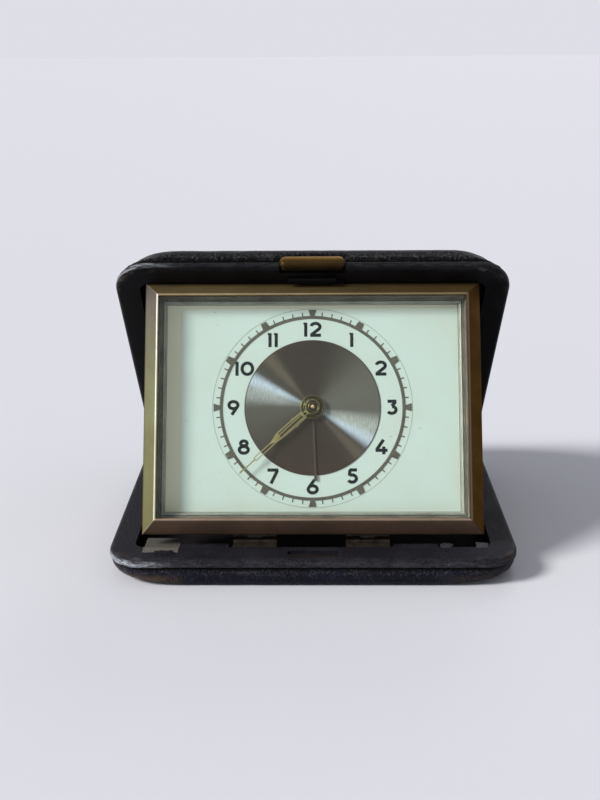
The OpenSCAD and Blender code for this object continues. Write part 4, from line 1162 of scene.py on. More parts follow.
@dataclass(frozen=True)
class Tabletop(Finish):
    """Pale plain floor."""

    colour: Colour = (0.655, 0.660, 0.715)

    def dress(self, g: Graph, shader: Node) -> None:
        """One pale tone with a very faint grain.

        Args:
            g: the material's graph.
            shader: its Principled node.
        """
        where = g.add("ShaderNodeTexCoord").outputs["Object"]
        tone = g.blend(g.noise(where, 60.0, 3.0), toned(self.colour, 0.985), self.colour)
        g.fill(shader, {"Base Color": tone, "Roughness": 0.7})


# The lid's pad and rim leather are darker copies of the base's: the difference is painted shade.
PAD_BASE = Leather("pad_leather_base", place=BASE, colour=(0.0028, 0.0037, 0.0098), light=(0.0078, 0.0100, 0.0245),
                   lip=4.0, lip_width=0.9, rubbed=0.34, grain_scale=1.15, grain_mm=0.26, rough=0.30, shine=0.08,
                   torn=0.95, scuffed=-0.9, seam=2.9, creased=0.36)
PAD_LID = Leather("pad_leather_lid", place=LID, colour=(0.0016, 0.0016, 0.0021), light=(0.0055, 0.0055, 0.0066),
                  lip=4.8, lip_width=1.5, rubbed=0.26, grain_scale=1.15, grain_mm=0.34, rough=0.22, shine=0.045,
                  torn=0.3, seam=3.1, creased=0.9)
RIM_BASE = Leather("rim_leather_base", place=BASE, colour=(0.0104, 0.0102, 0.0150), light=(0.0245, 0.0235, 0.0335),
                   grain_scale=1.5, grain_mm=0.20, rough=0.42, rubbed=0.17, lip_width=0.75, shine=0.04, silver=-0.95)
RIM_LID = Leather("rim_leather_lid", place=LID, colour=(0.0026, 0.0024, 0.0032), light=(0.0075, 0.0070, 0.0082),
                  grain_scale=2.0, grain_mm=0.03, rough=0.38, rubbed=0.06, lip_width=0.6, shine=0.05, torn=0.1,
                  silver=0.5)
TORN_LEATHER = Leather("torn_leather", place=BASE, colour=(0.022, 0.021, 0.026), light=(0.060, 0.060, 0.070),
                       grain_scale=3.0, grain_mm=0.10, rough=0.45, rubbed=0.3)
LINING_BASE = Lining("lining_base", place=BASE)
LINING_LID = Lining("lining_lid", place=LID)
FRAME_GILT = GiltFrame("frame_gilt")
PAINT = DialPaint("dial_paint")
LEDGE_PAINT = OldBrass("ledge_metal", colour=(0.165, 0.158, 0.118), tarnish=(0.066, 0.062, 0.045),
                       metal=0.3, rough=0.5)
REVEAL = OldBrass("reveal_metal", colour=(0.30, 0.32, 0.27), tarnish=(0.15, 0.155, 0.12), metal=0.25, rough=0.4)
SPUN = SpunMetal("spun_disc")
INK = PlainInk("ink")
TRACK_INK = OldBrass("track_bronze", colour=(0.105, 0.108, 0.082), tarnish=(0.066, 0.064, 0.046),
                     metal=0.15, rough=0.5)
GLASS = ClearGlass("flat_glass")
HAND = OldBrass("hand_gilt", colour=(0.36, 0.33, 0.14), tarnish=(0.15, 0.12, 0.05),
                metal=0.5, rough=0.3, scale=0.3, amount=0.6)
HUB = OldBrass("hub_gilt", colour=(0.055, 0.048, 0.019), tarnish=(0.020, 0.017, 0.007),
               metal=0.7, rough=0.34, scale=0.4)
HAND_DARK = OldBrass("hand_dark", colour=(0.10, 0.075, 0.06), tarnish=(0.05, 0.04, 0.03), metal=0.5, rough=0.5)
MOVEMENT = OldBrass("movement_brass", colour=(0.52, 0.40, 0.19), tarnish=(0.30, 0.21, 0.10),
                    rough=0.33, amount=0.55)
STEEL = OldBrass("plain_steel", colour=(0.42, 0.41, 0.40), tarnish=(0.24, 0.21, 0.18), rough=0.36, amount=0.5)
BLUED = OldBrass("blued_steel", colour=(0.09, 0.11, 0.17), tarnish=(0.10, 0.08, 0.07), rough=0.32, amount=0.5)
DARK_STEEL = OldBrass("dark_steel", place=BASE, colour=(0.009, 0.008, 0.009), tarnish=(0.020, 0.014, 0.009),
                      metal=0.3, rough=0.6, shine=0.12)
HINGE = OldBrass("hinge_brass", place=BASE, colour=(0.060, 0.047, 0.034), tarnish=(0.016, 0.014, 0.014),
                 metal=0.6, rough=0.5, scale=0.5, amount=0.9)
BUTTON = OldBrass("button_brass", place=LID, colour=(0.066, 0.036, 0.007), tarnish=(0.030, 0.015, 0.003),
                  metal=0.8, rough=0.33, scale=0.2, amount=0.6, fade=True)
# The clasp's steel is coloured near black so that it reads as the shade under the lid's rim.
CLASP_SHADE_STEEL = OldBrass("clasp_shade_steel", place=LID, colour=(0.0035, 0.0034, 0.0040), tarnish=(0.006, 0.005, 0.005),
                   metal=0.0, rough=0.6, shine=0.04)
BARE_BOARD = Board("bare_board")
FLOOR = Tabletop("tabletop")


# Digits


class Numeral(Enum):
    """Plain dial digits as strokes in a box one unit high, in the order of their value."""

    ZERO = 0
    ONE = 1
    TWO = 2
    THREE = 3
    FOUR = 4
    FIVE = 5
    SIX = 6
    SEVEN = 7
    EIGHT = 8
    NINE = 9

    def width(self) -> float:
        """Return the digit's advance, a share of its height."""
        return {Numeral.ONE: 0.42, Numeral.ZERO: 0.97}.get(self, 0.90)

    def strokes(self) -> list[tuple[np.ndarray, bool]]:
        """Build the digit's strokes: straight lines and bows, which are parts of ellipses.

        Returns:
            The paths, each with whether it is closed.
        """
        def line(*places: tuple[float, float]) -> tuple[np.ndarray, bool]:
            """Straight strokes from place to place."""
            return np.array(places, float), False

        def bow(x: float, y: float, wide: float, high: float, start: float, end: float) -> np.ndarray:
            """Part of an ellipse round x and y, from one angle to another."""
            return arc(1.0, start, end, 30) * np.array([wide, high]) + np.array([x, y])

        def ring(x: float, y: float, wide: float, high: float) -> tuple[np.ndarray, bool]:
            """A whole ellipse, closed by its last stroke."""
            return bow(x, y, wide, high, 0, 348), True

        drawn = {
            Numeral.ZERO: [ring(0, 0.48, 0.355, 0.385)],
            Numeral.ONE: [line((0, 0), (0, 0.96)), line((-0.11, 0.82), (-0.01, 0.93))],
            Numeral.TWO: [(np.vstack([bow(0, 0.675, 0.30, 0.235, 168, -40), [[-0.29, 0.12]]]), False),
                          line((-0.36, 0.095), (0.37, 0.095))],
            Numeral.THREE: [line((-0.28, 0.905), (0.31, 0.905)), line((0.26, 0.87), (0.0, 0.58)),
                            (bow(-0.01, 0.33, 0.29, 0.235, 84, -148), False)],
            Numeral.FOUR: [line((0.14, 0.98), (-0.34, 0.29)), line((-0.40, 0.27), (0.40, 0.27)),
                           line((0.15, 0.52), (0.15, 0.0))],
            Numeral.FIVE: [line((-0.21, 0.905), (0.30, 0.905)), line((-0.17, 0.92), (-0.21, 0.52)),
                           (bow(-0.03, 0.335, 0.285, 0.24, 128, -150), False)],
            Numeral.SIX: [ring(0, 0.33, 0.30, 0.235), line((-0.26, 0.44), (0.13, 0.98))],
            Numeral.SEVEN: [line((-0.36, 0.905), (0.37, 0.905)), line((0.32, 0.89), (-0.12, 0.0))],
            Numeral.EIGHT: [ring(0, 0.745, 0.215, 0.165), ring(0, 0.315, 0.30, 0.225)],
            Numeral.NINE: [ring(0, 0.665, 0.30, 0.24), line((0.26, 0.55), (-0.11, 0.01))],
        }
        return drawn[self]


# The case


def even_rows(*pairs: tuple[float, float]) -> np.ndarray:
    """Rows of side inset, end inset and level, from pairs of one inset and a level."""
    return np.array(pairs, float)[:, [0, 0, 1]]


def flat_run(insets: Sequence[float], level: float) -> np.ndarray:
    """Rows at one level, one for each inset."""
    return even_rows(*((inset, level) for inset in insets))


def quarter(inset: float, level: float, across: float, down: float, degrees: tuple[float, float], count: int
            ) -> np.ndarray:
    """Rows round part of an ellipse: inset + across (1 - cos a) and level + down (1 - sin a).

    Args:
        inset: inset where a is 0.
        level: level where a is 90 degrees.
        across: half width of the ellipse.
        down: its half height, negative where it rises.
        degrees: first and last a.
        count: number of rows.

    Returns:
        Rows of side inset, end inset and level.
    """
    a = np.radians(np.linspace(*degrees, count))
    return np.column_stack([inset + across * (1 - np.cos(a)), level + down * (1 - np.sin(a))])[:, [0, 0, 1]]


def shrunk(ring: np.ndarray, shares: Sequence[float]) -> np.ndarray:
    """Copies of a ring drawn towards its middle by the shares."""
    centre = ring.mean(0)
    return centre + (ring - centre) * np.array(shares)[:, None, None]


class Scrap(NamedTuple):
    """A thin ragged sheet on the lower half, in its own mm.

    Its face lies at the first of its levels on the rail, climbs at step and lies at the second on
    the rim. Its border strays by ragged, which the seed draws.
    """

    name: str
    sides: tuple[float, float]
    ends: tuple[float, float]
    levels: tuple[float, float]
    step: float
    finish: Finish
    ragged: float
    seed: int

    def piece(self) -> Piece:
        """Build the sheet: its level follows a smoothstep, and sines make its border stray.

        Returns:
            The piece.
        """
        u, v = np.meshgrid(np.linspace(0, 1, 48), np.linspace(0, 1, 26), indexing="ij")
        x, y = self.sides[0] + u * np.ptp(self.sides), self.ends[0] + v * np.ptp(self.ends)
        place = np.stack([x, y, np.zeros_like(x)], -1)
        by_border = np.clip((np.maximum(np.abs(u - 0.5), np.abs(v - 0.5)) * 2 - 0.6) / 0.4, 0, 1)
        stray = ripples(place, 2.4, self.seed) * self.ragged * by_border
        climb = np.clip((y - self.step) / 0.5 + 0.5, 0, 1)
        level = self.levels[0] + (self.levels[1] - self.levels[0]) * climb * climb * (3 - 2 * climb)
        face = np.stack([x + stray, y + stray, level + ripples(place, 3.0, self.seed + 9) * 0.03], -1)
        thick = np.array([0.0, 0.0, 0.30])
        return mesh_piece(self.name, closed_sheet(face, face + thick), BASE, self.finish)


SCRAPS = (
    Scrap("peeled_board", (-46.8, -37.0), (75.25, 86.1), (0.86, -0.07), 82.7, BARE_BOARD, 0.18, 5),
    Scrap("peeled_edge", (-43.6, -38.2), (85.3, 86.9), (-0.12, -0.12), 82.7, RIM_BASE, 0.5, 8),
    Scrap("rail_leather_left", (-36.6, -23.4), (79.5, 83.0), (0.60, -0.05), 82.6, RIM_BASE, 0.25, 6),
    Scrap("rail_leather_right", (22.6, 34.8), (79.5, 83.0), (0.60, -0.05), 82.6, RIM_BASE, 0.25, 7),
    Scrap("torn_flap_1", (35.6, 38.4), (79.8, 83.4), (0.30, -0.06), 82.4, TORN_LEATHER, 0.7, 20),
    Scrap("torn_flap_2", (45.4, 48.6), (79.8, 83.4), (0.15, -0.06), 82.4, TORN_LEATHER, 0.7, 21),
)


@dataclass(frozen=True)
class Puckers:
    """How a pad's leather puckers and pleats: wavelengths, heights and reaches in mm."""

    coarse: float = 9.0
    fine: float = 3.2
    fine_share: float = 0.4
    plain_h: float = 0.07
    corner_h: float = 0.16
    corner_reach: float = 26.0
    pleat: float = 2.6
    pleat_h: float = 0.20
    pleat_patch: float = 14.0
    seam_z: float = 4.3
    seam_reach: float = 1.5

    def height(self, rings: np.ndarray, seed: int) -> np.ndarray:
        """Sum sine waves, which grow towards the corners, and pleats across the seam.

        Args:
            rings: array of ring, point and coordinate.
            seed: seed of the waves.

        Returns:
            A height for each point.
        """
        x, y, z = np.moveaxis(rings, -1, 0)
        off_corner = np.abs(np.abs(x) - CASE_W / 2) + np.abs(np.abs(y - CASE_MIDDLE) - CASE_D / 2)
        amount = self.plain_h + self.corner_h * np.clip(1 - off_corner / self.corner_reach, 0, 1)
        coarse = ripples(rings, self.coarse, seed)
        fine = ripples(rings * np.array([1, 1, 2.2]), self.fine, seed + 1)
        patches = np.clip(ripples(rings, self.pleat_patch, seed + 2, 2) + 0.6, 0, 1)
        by_seam = np.clip(1 - np.abs(z - self.seam_z) / self.seam_reach, 0, 1) * patches
        pleats = ripples(rings * np.array([1, 1, 0.15]), self.pleat, seed + 3, 2) * by_seam * self.pleat_h
        return (coarse * (1 - self.fine_share) + fine * self.fine_share) * amount + pleats


# Points along each straight run and round each corner of a ring
FINE = (150, 26)
PLAIN = (44, 14)

# Boxes taken out of the lid for the button and for the hook's stem, in the lid's own mm
BUTTON_RECESS = ((-9.3, 88.85, -0.15), (9.3, 92.0, 4.15))
STEM_SLOT = ((-2.95, 84.0, 2.7), (2.95, 91.5, 4.0))


@dataclass(frozen=True)
class LeatherCase:
    """The two padded halves of the case with their pans and linings, and the scraps on the rail."""

    rim_h: float = 2.6
    half_h: float = 8.3
    crown_h: float = 13.0
    wall_h: float = 2.5
    side_rise: float = 6.0
    end_rise: float = 16.0
    pad_inset: float = 0.5
    inner_inset: float = 1.5
    roll_r: float = 0.9
    foot_r: float = 2.0
    puff: float = 0.35
    cover_t: float = 1.0
    pan_t: float = 0.5
    floor_level: float = 6.4
    floor_r: float = 1.2
    wall_taper: float = 4.2
    foot_taper: float = 11.0
    lid_taper: float = 7.0
    seat_y: float = 89.5
    seat_half: float = 10.6
    seat_deep: float = 5.6
    puckers: Puckers = Puckers()

    def lower_corner(self, rows: np.ndarray) -> np.ndarray:
        """Corner radii of the lower half: they grow gently down to the tray's floor, then fast to the foot.

        Args:
            rows: side inset, end inset and level of each ring.

        Returns:
            A radius for each ring.
        """
        level = rows[:, 2]
        wall = np.clip((level - self.rim_h) / (self.floor_level - self.rim_h), 0, 1)
        foot = np.clip((level - self.floor_level) / (self.half_h - self.floor_level), 0, 1)
        return np.maximum(CASE_CORNER - rows[:, 0] + self.wall_taper * wall + self.foot_taper * foot, 1.5)

    def lid_corner(self, rows: np.ndarray) -> np.ndarray:
        """Corner radii of the lid, which grow over the first 4 mm from the rim."""
        rise = np.clip((rows[:, 2] - self.rim_h) / 4.0, 0, 1)
        return np.maximum(CASE_CORNER - rows[:, 0] + self.lid_taper * rise, 6.0)

    def rings(self, rows: np.ndarray, corner: np.ndarray, points: tuple[int, int] = PLAIN) -> np.ndarray:
        """Rounded outlines of the case, drawn in by the insets of each row.

        Args:
            rows: side inset, end inset and level of each ring.
            corner: corner radius of each ring.
            points: points along each straight run and round each corner.

        Returns:
            An array of ring, point and coordinate.
        """
        flat = rounded_rings(CASE_W / 2 - rows[:, 0], CASE_D / 2 - rows[:, 1], corner, *points)
        level = np.broadcast_to(rows[:, None, 2:], (*flat.shape[:2], 1))
        return np.concatenate([flat + np.array([0.0, CASE_MIDDLE]), level], -1)

    def rolled_top(self) -> np.ndarray:
        """Rows of a pad's edge where the leather rolls over beside the rim."""
        return quarter(self.pad_inset, self.rim_h, self.roll_r, self.roll_r, (90, 0), 7)

    def bulge(self, shares: Sequence[float], foot_level: float) -> np.ndarray:
        """Rows of a pad's side, which swells by a half sine between the rolled top and its foot.

        Args:
            shares: where the rows lie, from 0 at the top to 1 at the foot.
            foot_level: level of the foot.

        Returns:
            The rows.
        """
        share, top = np.array(shares), self.rim_h + self.roll_r
        inset = self.pad_inset - self.puff * np.sin(math.pi * share)
        return np.column_stack([inset, inset, top + share * (foot_level - top)])

    def domed_rows(self, inset: float, thick: float) -> np.ndarray:
        """Rows over the lid's crown: an elliptic arc from the wall to the crown.

        Args:
            inset: inset at the wall.
            thick: depth under the pad's face.

        Returns:
            Rows of side inset, end inset and level.
        """
        low, top = self.rim_h + self.wall_h - thick, self.crown_h - thick
        a = np.radians(np.linspace(0, 90, 16))
        return np.column_stack([inset + self.side_rise * (1 - np.cos(a)), inset + self.end_rise * (1 - np.cos(a)),
                                low + (top - low) * np.sin(a)])

    def puckered(self, rings: np.ndarray, outer: np.ndarray, seed: int) -> np.ndarray:
        """Move the leather along its outward normals by the height of its puckers.

        Args:
            rings: array of ring, point and coordinate.
            outer: whether each ring lies outside.
            seed: seed of the waves.

        Returns:
            The moved rings.
        """
        normal = grid_normals(rings)
        outward = np.sign((normal * (rings - rings.mean((0, 1)))).sum(-1, keepdims=True))
        height = self.puckers.height(rings, seed) * outer[:, None]
        return rings + normal * outward * height[..., None]

    def lower_pad(self) -> Piece:
        """Build the padded leather of the lower half, whose underside stays flat on the table.

        Returns:
            The piece.
        """
        floor, inset = self.half_h - self.cover_t, self.inner_inset
        inside = np.vstack([flat_run((38.0, 24.0, 12.0, 5.0, 2.2), floor),
                            even_rows((inset, floor - 0.7), (inset, 4.5), (inset, self.rim_h))])
        foot = quarter(self.pad_inset, self.half_h, self.foot_r, -self.foot_r, (0, 90), 8)
        rows = np.vstack([inside, self.rolled_top(), self.bulge(np.linspace(0, 1, 9)[1:-1], self.half_h - self.foot_r),
                          foot, flat_run((3.4, 5.0, 8.0, 14.0, 24.0, 38.0), self.half_h)])
        outer = (np.arange(len(rows)) > len(inside) + 1) & (rows[:, 2] < self.half_h - 0.02)
        rings = self.puckered(self.rings(rows, self.lower_corner(rows), FINE), outer, 11)
        rings[..., 2] = np.minimum(rings[..., 2], self.half_h)
        return mesh_piece("lower_pad", capped_loft(rings), BASE, PAD_BASE)

    def lid_pad(self) -> Piece:
        """Build the padded leather of the lid: it swells to a crown, and is pushed in behind the button.

        Returns:
            The piece.
        """
        inside = self.domed_rows(self.inner_inset, self.cover_t)[::-1]
        side = self.bulge((0.25, 0.5, 0.75), self.rim_h + self.wall_h)
        rows = np.vstack([inside, even_rows((self.inner_inset, self.rim_h)), self.rolled_top(), side,
                          self.domed_rows(self.pad_inset, 0.0)])
        rings = self.rings(rows, self.lid_corner(rows), FINE)
        shares = (0.12, 0.4, 0.7, 0.88)
        rings = np.concatenate([shrunk(rings[0], shares), rings, shrunk(rings[-1], shares[::-1])])
        outer = np.arange(len(rings)) > len(inside) + len(shares) + 1
        rings = self.puckered(rings, outer, 23)
        x, y, z = np.moveaxis(rings, -1, 0)
        near = np.clip((self.seat_half - np.abs(x)) / 1.4, 0, 1) * np.clip((self.seat_deep - z) / 0.8, 0, 1)
        seated = np.where(y > self.seat_y - 0.05, y + (self.seat_y - y) * near, y)
        return mesh_piece("lid_pad", capped_loft(np.stack([x, seated, z], -1)), LID, PAD_LID)

    def lower_sheet(self, name: str, rows: Sequence[np.ndarray], finish: Finish) -> Piece:
        """A thin sheet of the lower half, lofted through blocks of rows."""
        stack = np.vstack(rows)
        return mesh_piece(name, capped_loft(self.rings(stack, self.lower_corner(stack))), BASE, finish)

    def lower_lining(self) -> Piece:
        """Build the tray's thin lining, with a soft fillet round its floor.

        Returns:
            The piece.
        """
        floor, back, front = self.floor_level, 2.02, 2.4
        return self.lower_sheet("lower_lining", [
            flat_run((36.0, 18.0, 6.0, 2.6), floor + 0.38), even_rows((back, 5.6), (back, self.rim_h)),
            even_rows((front, self.rim_h)), quarter(front, floor, self.floor_r, -self.floor_r, (0, 90), 7),
            flat_run((6.0, 12.0, 22.0, 36.0), floor)], LINING_BASE)

    def lower_pan(self) -> Piece:
        """Build the sheet steel pan between the lower pad and its lining.

        Returns:
            The piece.
        """
        outer, inset = self.half_h - self.cover_t, 1.52
        return self.lower_sheet("lower_pan_sheet", [
            flat_run((30.0, 12.0, 4.0, 2.0), outer - self.pan_t), even_rows((2.0, 4.5), (2.0, self.rim_h)),
            even_rows((inset, self.rim_h), (inset, 4.5), (inset, outer - 0.6)),
            flat_run((2.1, 4.0, 12.0, 30.0), outer)], STEEL)

    def lid_shell(self, name: str, outer: tuple[float, float], inner: tuple[float, float], finish: Finish) -> Piece:
        """A thin domed shell of the lid.

        Args:
            name: the piece's name.
            outer: inset and depth under the pad's face of its outer side.
            inner: the same of its inner side.
            finish: its finish.

        Returns:
            The piece.
        """
        rows = np.vstack([self.domed_rows(*outer)[::-1], even_rows((outer[0], self.rim_h), (inner[0], self.rim_h)),
                          self.domed_rows(*inner)])
        rings = self.rings(rows, self.lid_corner(rows))
        shares = (0.15, 0.5, 0.8)
        rings = np.concatenate([shrunk(rings[0], shares), rings, shrunk(rings[-1], shares[::-1])])
        return mesh_piece(name, capped_loft(rings), LID, finish)

    def build(self) -> None:
        """Make the case's pieces and tie each to its body."""
        report(self.lower_pad(), "base", ("base_cover",))
        report(carved(self.lid_pad(), LID, *BUTTON_RECESS), "lid", ("lid_cover",))
        report(self.lower_lining(), "base", ("base_lining",))
        report(self.lower_pan(), "base", ("base_pan",))
        lining = self.lid_shell("lid_lining_cloth", (2.02, 1.52), (2.4, 1.9), LINING_LID)
        report(carved(lining, LID, *STEM_SLOT), "lid", ("lid_lining",))
        pan = carved(self.lid_shell("lid_pan_sheet", (1.52, 1.02), (2.0, 1.5), STEEL), LID, *BUTTON_RECESS)
        report(carved(pan, LID, *STEM_SLOT), "lid", ("lid_pan",))
        for scrap in SCRAPS:
            report(scrap.piece(), "base")


# The clock's face

CORNERS = np.array(((1, 1), (-1, 1), (-1, -1), (1, -1)), float)


@dataclass(frozen=True)
class ClockFace:
    """The gilt frame, and the dial with its printing and hub rings."""

    bevel_w: float = 3.9
    bevel_d: float = 4.8
    dial_z: float = -0.7
    numeral_r: float = 22.3
    numeral_h: float = 4.2
    stroke: float = 0.92
    ink_t: float = 0.02
    tick: tuple[float, float] = (26.15, 27.25)
    hairline_r: float = 28.15
    border_inset: float = 6.22

    def mitred_frame(self) -> Piece:
        """Build the frame: a filleted section carried round a rectangle, its corners mitred.

        Returns:
            The piece.
        """
        inner, pocket, lip = self.bevel_w + 0.5, self.bevel_w + 0.25, self.bevel_d - 0.5
        section = filleted(((0, -1), (0, 0), (self.bevel_w, self.bevel_d), (inner, self.bevel_d), (inner, lip),
                            (pocket, lip), (pocket, -1)), (0, 0.22, 0.16, 0.12, 0, 0, 0))
        return self.mitred("mitred_frame", section, FRAME_GILT)

    def reveal(self) -> Piece:
        """Build the slim bead round the dial inside the frame, mitred like it.

        Returns:
            The piece.
        """
        section = filleted(((5.28, self.dial_z), (5.28, 0.30), (5.42, 0.62), (5.80, 0.50), (6.02, 0.05),
                            (6.02, self.dial_z)), (0, 0, 0.14, 0.16, 0.1, 0))
        return self.mitred("dial_reveal", section, REVEAL)

    def mitred(self, name: str, section: np.ndarray, finish: Finish) -> Piece:
        """Carry a section round the frame's rectangle: each of its points runs round an inset rectangle.

        Args:
            name: the piece's name.
            section: rows of inset and height.
            finish: its finish.

        Returns:
            The piece.
        """
        half = np.array([FRAME_W / 2, FRAME_H / 2])
        flat = (half - section[:, :1])[:, None, :] * CORNERS
        rings = np.concatenate([flat, np.repeat(section[:, 1:, None], 4, 1)], -1)
        shape = rings.reshape(-1, 3), loft_faces(len(section), 4, True)
        return mesh_piece(name, shape, CLOCK, finish, smooth=False)

    def printed(self, path: np.ndarray, width: float, closed: bool, extra: float = 0.0) -> Shape:
        """A line printed on the dial, extra higher than the ink."""
        return ribbon(path, width, self.dial_z, self.dial_z + self.ink_t + extra, closed)

    def numerals(self) -> list[Shape]:
        """Set the upright numbers one to twelve on a circle, each digit from its strokes.

        Returns:
            The strokes, at five levels in turn, so that no two faces that cross lie in one plane.
        """
        parts: list[Shape] = []
        for hour in range(1, 13):
            angle = math.radians(90 - 30 * hour)
            digits = [Numeral(int(c)) for c in str(hour)]
            widths = [d.width() * self.numeral_h for d in digits]
            x = self.numeral_r * math.cos(angle) - sum(widths) / 2
            y = self.numeral_r * math.sin(angle) - self.numeral_h / 2
            for digit, width in zip(digits, widths):
                for path, loop in digit.strokes():
                    spot = path * self.numeral_h + np.array([x + width / 2, y])
                    parts.append(self.printed(spot, self.stroke, loop, 0.0004 * ((len(parts) + 1) % 5)))
                x += width
        return parts

    def track(self) -> list[Shape]:
        """Draw the minute ticks outside the ring, and the hairline circle round them.

        Returns:
            The lines.
        """
        parts = [self.printed(arc(self.hairline_r, 0, 360, 181)[:-1], 0.09, True)]
        for minute in range(60):
            if minute % 5:
                a = math.radians(6 * minute)
                ray = np.array([math.cos(a), math.sin(a)])
                parts.append(self.printed(np.outer(self.tick, ray), 0.36, False))
        return parts

    def border(self) -> list[Shape]:
        """The thin dark line printed round the dial's border."""
        half = np.array([FRAME_W / 2, FRAME_H / 2]) - self.border_inset
        return [self.printed(CORNERS * half, 0.13, True)]

    def hub(self) -> None:
        """Turn the rings round the hands: a stepped collar over each boss, with a bead at its inner edge."""
        outer = filleted(((1.45, 0.56), (3.3, 0.56), (3.3, 0.84), (3.05, 0.98), (2.85, 0.80), (2.6, 0.80),
                          (2.45, 0.98), (2.25, 0.98), (1.45, 0.74)), (0, 0, 0.1, 0.1, 0, 0, 0.08, 0.08, 0))
        inner = filleted(((0.62, 1.26), (1.95, 1.26), (1.95, 1.50), (1.72, 1.68), (1.5, 1.46), (1.25, 1.46),
                          (1.05, 1.72), (0.80, 1.72), (0.62, 1.30)), (0, 0, 0.08, 0.12, 0, 0, 0.1, 0.08, 0))
        report(mesh_piece("hour_collar", lathe(outer), CLOCK, HUB), "hour_hand")
        report(mesh_piece("minute_collar", lathe(inner), CLOCK, HUB), "minute_hand")

    def build(self) -> None:
        """Make the face's pieces and tie them to the clock and its hands."""
        report(self.mitred_frame(), "clock", ("bezel_frame",))
        report(self.reveal(), "clock")
        for name, parts, finish, slot in (("dial_numerals", self.numerals(), INK, "dial_paint"),
                                          ("dial_border_line", self.border(), INK, "dial_paint"),
                                          ("minute_track", self.track(), TRACK_INK, "track_bronze")):
            report(mesh_piece(name, joined(parts), CLOCK, finish, smooth=False), "clock")
        self.hub()


# Finishes of the nodes and the studio


@dataclass(frozen=True)
class Dressing:
    """Finishes of the nodes that keep their own shape, by node name."""

    by_name: dict[str, Finish] = field(default_factory=lambda: {
        "base_rim": RIM_BASE, "lid_rim": RIM_LID, "inner_bezel": LEDGE_PAINT, "front_glass": GLASS, "dial": PAINT,
        "dial_disc": SPUN, "hour_track": TRACK_INK, "minute_hand": HAND, "hour_hand": HAND,
        "alarm_hand": HAND_DARK, "cannon_pinion": HUB, "clasp_button": BUTTON,
    })
    by_group: dict[Finish, tuple[str, ...]] = field(default_factory=lambda: {
        CLASP_SHADE_STEEL: ("clasp_hook", "clasp_bracket", "clasp_spring"),
        HINGE: ("clock_hinge_fixed_leaves", "clock_hinge_moving_leaves", "clock_hinge_pins"),
        BLUED: ("plate_screws", "hairspring"),
        STEEL: ("alarm_set_arbor", "going_barrel_arbor", "alarm_barrel_arbor", "pallet_fork", "alarm_hammer"),
        DARK_STEEL: ("hinge_rail", "catch_plate", "case_hinge_base_leaf", "case_hinge_lid_leaf", "case_hinge_pin"),
    })

    def build(self, nodes: dict[str, Piece]) -> None:
        """Assign every node its finish, movement brass unless it is listed.

        Args:
            nodes: the frame's nodes by name.
        """
        listed = self.by_name | {name: finish for finish, names in self.by_group.items() for name in names}
        for name, node in nodes.items():
            made = listed.get(name, MOVEMENT).material()
            if not node.material_slots:
                node.data.materials.append(made)
            for slot in node.material_slots:
                slot.material = made


class Lamp(NamedTuple):
    """A far lamp: the direction towards it, its irradiance, its width in degrees and its colour."""

    name: str
    towards: Triple
    strength: float
    spread: float
    tint: Colour

    def light(self) -> None:
        """Hang the lamp. Its width softens the shadows, and its distance lights the floor evenly."""
        data = bpy.data.lights.new(self.name, "SUN")
        data.energy, data.angle, data.color = self.strength, math.radians(self.spread), self.tint
        lamp = bpy.data.objects.new(self.name, data)
        way = Vector(self.towards).normalized()
        lamp.location = way * 2
        lamp.rotation_euler = way.to_track_quat("Z", "Y").to_euler()
        bpy.context.collection.objects.link(lamp)


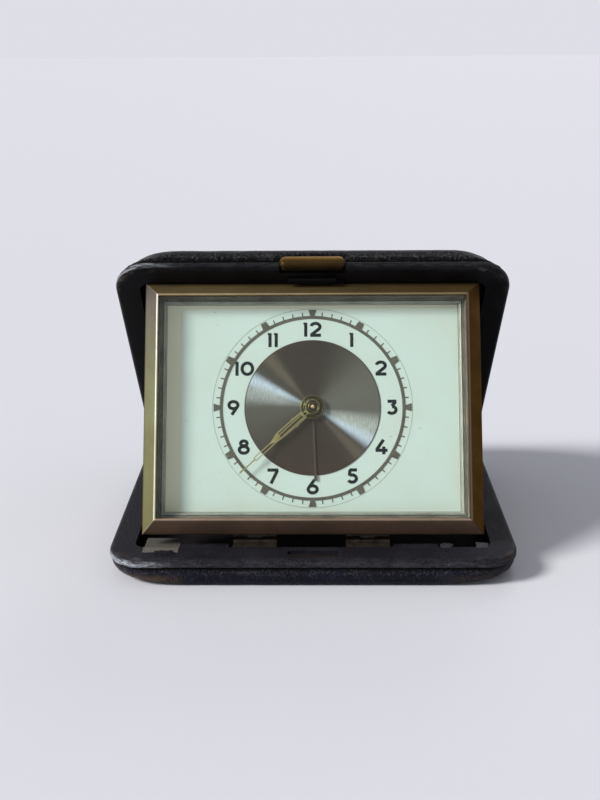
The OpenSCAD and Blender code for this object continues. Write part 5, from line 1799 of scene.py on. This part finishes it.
@dataclass(frozen=True)
class Studio:
    """Pale floor, soft lamps and the camera of the photograph."""

    focal_px: float = 1109.0
    image_h: int = 800
    eye_mm: Triple = (0.84, -314.69, 144.26)
    pitch: float = math.radians(18.508)
    yaw: float = math.radians(-0.844)
    roll: float = math.radians(0.391)
    floor_half: float = 6.0
    sky: Colour = (0.93, 0.95, 1.0)
    seen: Colour = (0.735, 0.743, 0.797)
    lamps: tuple[Lamp, ...] = (
        Lamp("key", (-0.757, -0.314, 0.571), 3.9, 16.0, (1.0, 0.985, 0.96)),
        Lamp("rim", (0.15, 0.75, 0.62), 0.25, 20.0, (1.0, 1.0, 1.0)),
    )

    def floor(self) -> None:
        """A wide pale plane at the height of the table."""
        mesh = bpy.data.meshes.new("floor")
        corners = np.column_stack([CORNERS * self.floor_half, np.zeros(4)])
        mesh.from_pydata(corners.tolist(), [], [(0, 1, 2, 3)])
        mesh.materials.append(FLOOR.material())
        plane = bpy.data.objects.new("floor", mesh)
        bpy.context.collection.objects.link(plane)

    def world(self) -> None:
        """An even pale sky, brighter for what the camera and mirrors see."""
        world = bpy.data.worlds.new("studio")
        world.use_nodes = True
        world.node_tree.nodes.clear()
        g = Graph(world.node_tree)
        sky = g.add("ShaderNodeBackground", {"Color": rgba(self.sky), "Strength": 0.36})
        seen = g.add("ShaderNodeBackground", {"Color": rgba(self.seen), "Strength": 1.0})
        path = g.add("ShaderNodeLightPath").outputs
        mirrored = g.calc("MAXIMUM", path["Is Glossy Ray"], path["Is Transmission Ray"])
        shown = g.calc("MAXIMUM", path["Is Camera Ray"], mirrored)
        mixed = g.add("ShaderNodeMixShader", {0: shown, 1: sky.outputs[0], 2: seen.outputs[0]})
        g.add("ShaderNodeOutputWorld", {"Surface": mixed.outputs[0]})
        bpy.context.scene.world = world

    def camera(self) -> None:
        """The photograph's view, from its place, turns and focal length in pixels."""
        cp, sp, cy, sy = math.cos(self.pitch), math.sin(self.pitch), math.cos(self.yaw), math.sin(self.yaw)
        forward = np.array([sy * cp, cy * cp, -sp])
        right = np.array([cy, -sy, 0.0])
        down = np.cross(forward, right)
        turned = math.cos(self.roll) * right + math.sin(self.roll) * down
        below = -math.sin(self.roll) * right + math.cos(self.roll) * down
        data = bpy.data.cameras.new("photo_view")
        data.sensor_fit, data.sensor_height = "VERTICAL", 36.0
        data.lens = self.focal_px / self.image_h * data.sensor_height
        data.clip_start, data.clip_end = 0.01, 50.0
        view = bpy.data.objects.new("photo_view", data)
        frame = Matrix(np.column_stack([turned, -below, -forward]).tolist()).to_4x4()
        frame.translation = Vector(self.eye_mm) * MM
        view.matrix_world = frame
        bpy.context.collection.objects.link(view)
        bpy.context.scene.camera = view

    def build(self) -> None:
        """Set up floor, sky, camera and lamps."""
        self.floor()
        self.world()
        self.camera()
        for lamp in self.lamps:
            lamp.light()
        bpy.context.scene.view_settings.view_transform = "Standard"


# The build


def report(piece: Piece, body: str, nodes: Sequence[str] = ()) -> None:
    """Tie a piece to its body and hide the nodes that it stands for.

    Args:
        piece: the finished object.
        body: the body that it moves with.
        nodes: nodes that it replaces.
    """
    if nodes:
        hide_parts(*nodes)
    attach(piece, body)
    LOG.info("%s: %d faces on %s", piece.name, len(piece.data.polygons), body)


def main() -> None:
    """Load the frame, dress it and set the scene."""
    logging.basicConfig(level=logging.INFO, format="%(name)s %(message)s")
    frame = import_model()
    Studio().build()
    LeatherCase().build()
    ClockFace().build()
    Dressing().build(frame["nodes"])


if __name__ == "__main__":
    main()
